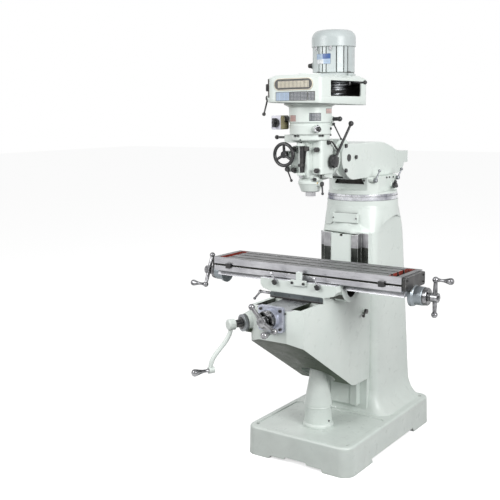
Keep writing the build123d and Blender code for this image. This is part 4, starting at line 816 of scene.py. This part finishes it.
def makeNamePlate(setup):
    shape = bmesh.new()
    rim, pitch = setup["rim"], setup["flutePitch"]
    addPlate(shape, frontSpot(0, beltFront, setup["z"]), *setup["size"], setup["corner"],
             [(0, -0.5, 0), (0, 2.2, 0), (1, 3.0, 0), (rim - 1, 3.0, 0), (rim, 1.6, 1)], steps=10, spans=12)
    makePiece("namePlate", shape, ["plateRim", "plateField"], "head")
    start = mm(-pitch * (setup["flutes"] - 1) / 2, beltFront - setup["fluteLift"], setup["z"])
    runTree("namePlateFlutes", barRow, {
        "Count": setup["flutes"], "Start": start, "Step": mm(pitch, 0, 0), "Bar": mm(*setup["flute"])},
        "plateRim", "head")


chartPlates = {
    "z": 1821, "height": 42, "corner": 2.0,
    "rings": ((0, -0.5, 0), (0, 1.0, 0), (0.5, 1.4, 0), (2.2, 1.4, 0), (2.6, 1.0, 1)),
    "plates": (("bluePrint", -98, -20), ("slatePrint", -18, 77), ("slatePrint", 79, 117)),
}


def makeChartPlates(setup):
    for index, (finish, low, high) in enumerate(setup["plates"]):
        shape = bmesh.new()
        spot = frontSpot((low + high) / 2, beltFront, setup["z"])
        addPlate(shape, spot, high - low, setup["height"], setup["corner"], setup["rings"])
        makePiece(f"chartPlate{index + 1}", shape, ["plateField", finish], "head")


drumPlates = {  # (finish, drum axis, drum radius, middle angle, arc in degrees, low z, high z)
    "gearChart": ("slatePrint", spindleAxis, 103, -45.8, 32, 1706, 1743),
    "gearLabel": ("pinkPrint", spindleAxis, 103, 2.5, 31, 1740, 1763),
    "sideLabel": ("pinkPrint", spindleAxis, 103, -114, 26, 1704, 1733),
    "motorPlate": ("motorPrint", motorAxis, 104, -90.3, 43.4, 1978, 2027),
}
drumPlateForm = {"corner": 1.5, "spans": 16,
                 "rings": ((0, -0.6, 0), (0, 0.8, 0), (0.4, 1.1, 0), (1.6, 1.1, 1))}


def makeDrumPlates(setup):
    for name, (finish, axis, radius, angle, arc, low, high) in setup.items():
        shape = bmesh.new()
        spot = drumSpot(axis, radius, angle, (low + high) / 2)
        addPlate(shape, spot, math.radians(arc) * radius, high - low, **drumPlateForm)
        makePiece(name, shape, ["plateField", finish], "head")


beltSkirt = {
    "x": (-170, 146), "y": (beltFront, 25), "bends": (24, 84, 84, 58), "top": 1818, "low": 1786,
    "fall": (-0.027, -0.019),  # how the lower edge falls to the right and the rear
    "outer": ((-0.05, 0), (-0.5, 6)), "inner": (9, 14),  # inset, and depth below the top
    "lip": ((-0.5, 6), (0.8, 2), (4, 0), (9, 0)),  # inset, and height over the lower edge
}


def beltPlan(setup, inset, steps=10):  # the belt housing's rounded plan, drawn in by a distance
    (left, right), (front, rear) = setup["x"], setup["y"]
    plan = []
    for index, (x, y) in enumerate(((right, front), (right, rear), (left, rear), (left, front))):
        bend = setup["bends"][index] - inset
        middleX = x + (bend + inset) * (1 if x == left else -1)
        middleY = y + (bend + inset) * (1 if y == front else -1)
        for step in range(steps + 1):
            turn = math.radians(90 * index - 90 + 90 * step / steps)
            plan.append((middleX + bend * math.cos(turn), middleY + bend * math.sin(turn)))
    return plan


def makeBeltSkirt(setup):  # lower edge of the belt housing, which hangs a little below its floor
    shape = bmesh.new()
    top, low = setup["top"], setup["low"]
    cornerX, cornerY = setup["x"][1], setup["y"][0]
    fallX, fallY = setup["fall"]
    rows = [(inset, top - depth, False) for inset, depth in setup["outer"]]
    rows += [(inset, rise, True) for inset, rise in setup["lip"]]
    rows.append((setup["inner"][0], top - setup["inner"][1], False))
    rings = []
    for inset, height, slopes in rows:
        ring = []
        for x, y in beltPlan(setup, inset):
            edge = low + fallX * (x - cornerX) + fallY * (y - cornerY)
            ring.append(shape.verts.new(mm(x, y, edge + height if slopes else height)))
        rings.append(ring)
    joinRings(shape, rings, closed=True)
    makePiece("beltHousingSkirt", shape, ["castEnamel"], "head")


makeBeltSkirt(beltSkirt)
makeNamePlate(namePlate)
makeChartPlates(chartPlates)
makeDrumPlates(drumPlates)
print("plates:", 1 + len(chartPlates["plates"]) + len(drumPlates), "and the belt housing's lower edge")


# Small cast, black and bright pieces

headHardware = {
    "doorKnob": {"centre": (-112, -424), "nose": 58, "angle": -144.5, "z": 1864.5, "size": (18, 35),
                 "corner": 8.5, "rings": ((0, -4, 0), (0, 6, 0), (1.5, 9, 0), (4, 10, 0))},
    "tripCrank": {"hub": (87, -317, 1602), "outline": ((0, 0), (10, 0), (10, 14), (8, 17), (0, 17)),
                  "route": ((100, -317, 1602), (104, -306, 1607), (104.5, -292, 1599), (105, -272, 1582),
                            (106, -248, 1562)), "bar": 4.5, "ball": 6.5},
    "oilCup": {"route": ((-22, -382, 1575), (-50, -392, 1575)), "bar": 3.5, "ball": 7.5},
    "sidePin": {"foot": (72, -348, 1430), "outline": ((0, 0), (4, 0), (4.5, 1), (4.5, 24), (0, 24))},
    "strip": {"corners": ((-19, 1586), (22, 1586), (8, 1462), (-5, 1462)), "faces": (-399.5, -401.6)},
    "stripBlock": {"centre": (25, -399, 1575), "size": (22, 22), "corner": 3,
                   "rings": ((0, 0, 0), (0, 11, 0), (1.5, 12.5, 0))},
    "lowerBoss": {"root": (51, -338, 1428), "outline": ((0, 0), (13, 0), (13, 32), (11, 34), (0, 34))},
}


def makeHeadHardware(setup):  # door knob, trip crank, oil cup, pin and stop strip; the boss is enamelled
    shape = bmesh.new()
    knob, block = setup["doorKnob"], setup["stripBlock"]
    spot, out = onDrum(knob["centre"], knob["nose"], knob["angle"], knob["z"])
    addPlate(shape, flatSpot(spot, (-out[1], out[0], 0), up), *knob["size"], knob["corner"], knob["rings"])
    addLathe(shape, setup["tripCrank"]["hub"], right, setup["tripCrank"]["outline"])
    for bent in (setup["tripCrank"], setup["oilCup"]):
        addTube(shape, bent["route"], bent["bar"])
        addBall(shape, bent["route"][-1], bent["ball"])
    addLathe(shape, setup["sidePin"]["foot"], up, setup["sidePin"]["outline"])
    strip = [[shape.verts.new(mm(x, y, z)) for x, z in setup["strip"]["corners"]]
             for y in setup["strip"]["faces"]]
    joinRings(shape, strip)
    for ring in strip:
        shape.faces.new(ring)
    addPlate(shape, frontSpot(*block["centre"]), *block["size"], block["corner"], block["rings"])
    makePiece("headHardware", shape, ["blackFinish"], "head")

    shape = bmesh.new()
    addLathe(shape, setup["lowerBoss"]["root"], front, setup["lowerBoss"]["outline"])
    makePiece("lowerClampBoss", shape, ["castEnamel"], "head")


motorClips = {"angles": (-68.7, -112.4), "z": 2053, "size": (9, 22), "corner": 2.5, "radius": 108.6,
              "rings": ((0, -5, 0), (0, 1.4, 0), (0.8, 2.2, 0))}


def makeMotorClips(setup):
    shape = bmesh.new()
    for angle in setup["angles"]:
        spot = drumSpot(motorAxis, setup["radius"], angle, setup["z"])
        addPlate(shape, spot, *setup["size"], setup["corner"], setup["rings"])
    makePiece("motorClips", shape, ["polishedFinish"], "head")


reverseBase = {"angle": -43, "seat": 118.8, "z": 1668,
               "lobe": 8, "ring": 10.5, "rise": 8.2, "lobes": (90, 210, 330),
               "outline": ((8.4, 0), (15, 0), (16, 2), (16, 5), (12, 8), (8.4, 9), (8.4, 0))}


def makeReverseBase(setup):  # bright three-lobed collar behind the reverse knob's ball
    shape = bmesh.new()
    origin, out = onDrum(spindleAxis, setup["seat"], setup["angle"], setup["z"])
    addLathe(shape, origin, out, setup["outline"])
    side, other, axis = frameOf(out)
    for turn in setup["lobes"]:
        lean = side * math.cos(math.radians(turn)) + other * math.sin(math.radians(turn))
        addBall(shape, Vector(origin) + lean * setup["ring"] + axis * setup["rise"], setup["lobe"])
    makePiece("reverseKnobCollar", shape, ["polishedFinish"], "reverse_knob")


lockHubs = {
    "hubs": (("tableLockLeftHub", "table_lock_left", -122), ("tableLockRightHub", "table_lock_right", 122)),
    "cap": (-468.6, 922), "outline": ((0, 0), (12.6, 0), (13.4, 1.5), (13.4, 6), (10, 9), (0, 9)),
    "knob": (-13, -465, 924), "knobRadius": 7.5,
}


def makeLockHubs(setup):  # black hub cap and root knob of each table lock lever
    aside, *knob = setup["knob"]
    for name, body, x in setup["hubs"]:
        shape = bmesh.new()
        addLathe(shape, (x, *setup["cap"]), front, setup["outline"])
        addBall(shape, (x + aside, *knob), setup["knobRadius"])
        makePiece(name, shape, ["knobFinish"], body)


pedestalTrim = {
    "band": 252, "radius": 72,
    "bulge": ((-2, -5), (0.3, -4), (1.6, -2), (1.6, 2), (0.3, 4), (-2, 5), (-2, -5)),  # out and up
    "tap": (69, -248, 256), "tapOutline": ((0, 0), (5, 0), (5, 9), (3.5, 11), (3.5, 26), (0, 26)),
    "ball": (96, -248, 256), "ballRadius": 5.5,
}


def makePedestalTrim(setup):  # raised band and small tap on the knee screw's pedestal
    shape = bmesh.new()
    bulge = [(setup["radius"] + over, height) for over, height in setup["bulge"]]
    addLathe(shape, (*screwAxis, setup["band"]), up, bulge, steps=64)
    addLathe(shape, setup["tap"], right, setup["tapOutline"], steps=16)
    addBall(shape, setup["ball"], setup["ballRadius"])
    makePiece("pedestalTrim", shape, ["castEnamel"], "base")


drumLip = {
    "axis": (0, 213), "turns": (-158, -22), "step": 2, "root": 165, "drum": 192.0,
    "heights": (1120, 1126, 1130, 1134, 1138, 1144, 1151, 1158, 1168, 1178, 1190, 1205, 1225, 1255),
    "lip": ((1120, 236.6), (1130, 236.6), (1138, 230.8), (1158, 205.0), (1178, 196.0), (1195, 193.2),
            (1255, 191.2)),  # reach by height
    "lobe": ((18, 206.0), (30, 213.0), (40, 221.2), (50, 212.0), (60, 189.3), (70, 171.5)),  # reach by angle
    "roll": ((-98, 0.3), (-88, 0.5), (-76, 1.0)),  # how far the lip rolls out, by angle
    "blend": (16, 26),  # degrees aside where the lobe begins, and over which it takes over
    "pad": {"centre": (3, 11, 1197), "size": (146, 50), "corner": 5,
            "rings": ((0, -22, 0), (0, 0.5, 0), (1.5, 1.6, 0))},
}


def between(table, value):  # straight lines through a table's points
    for (a, low), (b, high) in zip(table, table[1:]):
        if value <= b:
            return low + (high - low) * max(0.0, (value - a) / (b - a))
    return table[-1][1]


def makeDrumLip(setup):  # rolled lip round the drum's foot above the ways, with the face of the name pad
    shape = bmesh.new()
    x, y = setup["axis"]
    drum, root = setup["drum"], setup["root"]
    foot, top = setup["heights"][0], setup["heights"][-1]
    begin, over = setup["blend"]
    rings = []
    for turn in range(setup["turns"][0], setup["turns"][1] + 1, setup["step"]):
        aside = abs(turn + 90)
        share = min(max((aside - begin) / over, 0.0), 1.0)
        share = share * share * (3 - 2 * share)
        roll = between(setup["roll"], turn)
        section = []
        for z in setup["heights"]:
            rolled = drum + (between(setup["lip"], z) - drum) * roll
            corner = drum + (between(setup["lobe"], aside) - drum) * (top - z) / (top - foot)
            section.append((rolled * (1 - share) + corner * share, z))
        section += [(root, top), (root, foot)]
        outX, outY = math.cos(math.radians(turn)), math.sin(math.radians(turn))
        rings.append([shape.verts.new(mm(x + reach * outX, y + reach * outY, z)) for reach, z in section])
    joinRings(shape, rings)
    for ring in (rings[0], rings[-1]):
        shape.faces.new(ring)
    pad = setup["pad"]
    addPlate(shape, frontSpot(*pad["centre"]), *pad["size"], pad["corner"], pad["rings"])
    makePiece("drumLip", shape, ["castEnamel"], "base")


makeDrumLip(drumLip)
makePedestalTrim(pedestalTrim)
makeHeadHardware(headHardware)
makeMotorClips(motorClips)
makeReverseBase(reverseBase)
makeLockHubs(lockHubs)
print("hardware: drum lip, pedestal trim, head pieces, clips, collar and lock hubs")


# Screws and bolts, one mesh for each kind on a body

def ringOf(axis, radius, angles, z, facing, size):  # heads round an upright drum
    spots = [onDrum(axis, radius, angle, z) for angle in angles]
    return [(spot, facing or out, size) for spot, out in spots]


feedHub, feedRing = (120.4, -288, 1511), 25
feedTurns = [math.radians(angle) for angle in (160, 280, 40)]
feedScrews = [((feedHub[0], feedHub[1] + feedRing * math.cos(turn), feedHub[2] + feedRing * math.sin(turn)),
               right, 3.4) for turn in feedTurns]

boltKinds = {  # (slot, finish, sides)
    "hex": ("black_steel", "blackFinish", 6),
    "cap": ("black_steel", "blackFinish", 20),
    "nut": ("bright_steel", "polishedFinish", 6),
    "plug": ("alloy", "brassFinish", 20),
}

boltSets = {  # (body, kind, height and recess by radius, heads)
    "headHexBolts": ("head", "hex", 1.2, 0.05, [
        *ringOf(motorAxis, 110.5, (-15, 75, 165, 255), 1933, up, 6.0),
        *ringOf(spindleAxis, 97.5, (-108.9, -97.4, -30.6, -21.4, 40, 100, 150, -160), 1640, down, 6.2),
        ((51, -372, 1428), front, 8.5)]),
    "stopScrewNut": ("head", "nut", 1.15, 0.05, [((0, -419, 1448), down, 9.5)]),
    "headCapScrews": ("head", "cap", 1.0, 0.5, [
        ((-12, -401.4, 1578), front, 3.4), ((15, -401.4, 1578), front, 3.4),
        *ringOf(spindleAxis, 100.6, (12,), 1668, None, 6.0)]),
    "quillOilPlug": ("head", "plug", 0.8, 0.4, ringOf(spindleAxis, 61, (-25.7,), 1408.5, None, 4.0)),
    "feedHubScrews": ("feed_lever", "cap", 0.8, 0.5, feedScrews),
    "turretScrews": ("turret", "cap", 0.9, 0.5, [
        ((86, 64, 1391), front, 5.0), ((118.2, 74.6, 1392), (0.65, -0.76, 0), 5.0),
        ((148, 199, 1400), right, 4.5), ((148, 232, 1400), right, 4.5), ((148, 277, 1398), right, 4.5)]),
    "baseScrews": ("base", "cap", 0.8, 0.5, [
        ((-65, 9.2, 1196), front, 3.8), ((70, 9.2, 1196), front, 3.8),
        *ringOf(screwAxis, 72, (-11.4,), 182, None, 4.5)]),
    "kneeScrews": ("knee", "cap", 1.0, 0.5, [
        *[((x, -690, z), front, 7.0) for x in (-53, 54) for z in (756, 844)], ((73, -672, 830), front, 3.6)]),
    "saddleScrews": ("saddle", "cap", 1.0, 0.5, [
        ((-22, -467, 931), front, 6.5), ((43, -467, 931), front, 6.5)]),
    "tableEndScrews": ("table", "cap", 1.0, 0.5, [
        ((side * 551, y, z), (side, 0, 0), 4.6)
        for side in (1, -1) for y in (-396, -219) for z in (956, 988)]),
}


def makeBolts(name, body, kind, height, recess, heads):
    slot, finish, sides = boltKinds[kind]
    runTree(name, boltHeads, {
        "Sides": sides, "Height": height, "Socket": headShape["socket"], "Recess": recess},
        finish, body, heads)


for name, bolts in boltSets.items():
    makeBolts(name, *bolts)
print("bolts:", sum(len(bolts[-1]) for bolts in boltSets.values()), "heads on", len(boltSets), "pieces")


# Graduations on the dials and scales

crankTurn = math.radians(25)  # the knee crank's shaft points front and left
crankWay = (-math.sin(crankTurn), -math.cos(crankTurn), 0)
crankReach = 428.6  # of the dial from the elevating screw's axis
crankDial = (crankReach * crankWay[0], screwAxis[1] + crankReach * crankWay[1], 748)
markSetup = {"thick": 0.5, "share": 0.28, "long": 1.8}  # share of the pitch, length of the long ones

scales = {  # (body, origin, axis, radius, count, mark length, long every)
    "turretScale": ("base", (0, 213, 1303), up, 187.0, 180, 6.0, 5),
    "swivelScale": ("adapter", (0, -235.4, 1520), (0, 1, 0), 106.0, 120, 4.5, 5),
    "crossDialMarks": ("cross_screw", (0, -716.5, 800), front, 46.0, 100, 5.0, 10),
    "kneeDialMarks": ("knee_crank", crankDial, crankWay, 42.0, 100, 5.0, 10),
    "rightDialMarks": ("table_screw", (600.8, -307.5, 906), right, 42.0, 100, 4.6, 10),
    "leftDialMarks": ("table_screw", (-600.8, -307.5, 906), left, 42.0, 100, 4.6, 10),
}


def makeScales(setup):
    for name, (body, origin, axis, radius, count, length, every) in setup.items():
        width = markSetup["share"] * 2 * math.pi * radius / count
        runTree(name, dialMarks, {
            "Count": count, "Radius": radius / 1000, "Mark": mm(markSetup["thick"], width, length),
            "Long every": every, "Long": markSetup["long"]},
            "plateField", body, place=onAxis(origin, axis))


makeScales(scales)
print("scales:", len(scales))


# Threads, belt and wiper that stand for their solids

threads = {  # (body, slot, finish, foot, crest radius, depth, pitch, length, node)
    "elevatingThread": ("elevating_screw", "ground_steel", "groundFinish", (*screwAxis, 175), 20, 2.6, 10.0,
                        525, "elevating_screw"),
    "depthStopThread": ("head", "black_steel", "blackFinish", (0, -419, 1444), 6, 1.1, 3.2, 163,
                        "depth_stop_screw"),
}


def makeThreads(setup):
    for name, (body, slot, finish, foot, crest, depth, pitch, length, node) in setup.items():
        runTree(name, threadRod, {
            "Crest": crest / 1000, "Depth": depth / 1000, "Turns": length / pitch, "Length": length / 1000},
            finish, body, place=Matrix.Translation(mm(*foot)), hides=(node,))


beltSetup = {"radii": (73.35, 59.35), "z": 1844, "steps": 36, "cogs": 110, "cog": (2.4, 3.2, 5.6),
             "cogInset": -4.0, "section": ((4.3, 6.2), (4.3, -6.2), (-3.0, -3.4), (-3.0, 3.4))}


def beltPath(setup):  # points on the belt's middle line with the way outwards
    big, small = setup["radii"]
    lean = math.asin((big - small) / (motorAxis[1] - spindleAxis[1]))
    path = []
    for (x, y), radius, start, sweep in ((motorAxis, small, lean, math.pi - 2 * lean),
                                         (spindleAxis, big, math.pi - lean, math.pi + 2 * lean)):
        for step in range(setup["steps"] + 1):
            turn = start + sweep * step / setup["steps"]
            out = Vector((math.cos(turn), math.sin(turn), 0))
            path.append((Vector((x, y, setup["z"])) + out * radius, out))
    return path


def evenly(path, count):  # the same closed path in equal steps
    loop = path + path[:1]
    lengths = [(b[0] - a[0]).length for a, b in zip(loop, loop[1:])]
    step = sum(lengths) / count
    even, run, index = [], 0.0, 0
    for number in range(count):
        while number * step > run + lengths[index]:
            run += lengths[index]
            index += 1
        share = (number * step - run) / lengths[index]
        here, after = loop[index], loop[index + 1]
        even.append((here[0].lerp(after[0], share), here[1].lerp(after[1], share)))
    return even


def makeBelt(setup):
    shape = bmesh.new()
    path = beltPath(setup)
    rings = []
    for place, out in path:
        rings.append([shape.verts.new((place + out * reach + Vector((0, 0, rise))) / 1000)
                      for reach, rise in setup["section"]])
    joinRings(shape, rings, closed=True)
    makePiece("driveBelt", shape, ["rubberFinish"], "head", hides=("v_belt",))
    cogs = [(place + out * setup["cogInset"], tuple(out), 1000) for place, out in evenly(path, setup["cogs"])]
    runTree("driveBeltCogs", beltCogs, {"Cog": mm(*setup["cog"])}, "rubberFinish", "head", cogs)


wiper = {
    "x": (-157, 145), "z": (842.8, 872), "y": -455, "corner": 9, "gap": 3, "lip": 8.0, "lipCorner": 2,
    "rings": ((0, 0, 0), (0, 3.8, 0), (1.2, 4.8, 0)), "lipRings": ((0, 0, 1), (0.2, 5.2, 1), (1.4, 5.9, 1)),
    "screws": [((x, -459.6, 861), front, 3.6) for x in (-128, -44, 40, 122)],
}


def makeWiper(setup):  # wiper strip on the saddle's front, with a soft lip along the knee
    low, high = setup["z"]
    wide = setup["x"][1] - setup["x"][0]
    middle, y = sum(setup["x"]) / 2, setup["y"]
    gap, lip = setup["gap"], setup["lip"]
    shape = bmesh.new()
    addPlate(shape, frontSpot(middle, y, (low + high) / 2 + gap / 2), wide, high - low - gap, setup["corner"],
             setup["rings"], spans=12)
    addPlate(shape, frontSpot(middle, y, low + lip / 2), wide, lip, setup["lipCorner"],
             setup["lipRings"], spans=12)
    makePiece("saddleWiperStrip", shape, ["wiperFinish", "rubberFinish"], "saddle",
              hides=("saddle_wiper",))
    makeBolts("wiperScrews", "saddle", "cap", 0.4, 0.2, setup["screws"])


makeThreads(threads)
makeBelt(beltSetup)
makeWiper(wiper)
print("threads:", len(threads), "and the belt and wiper")
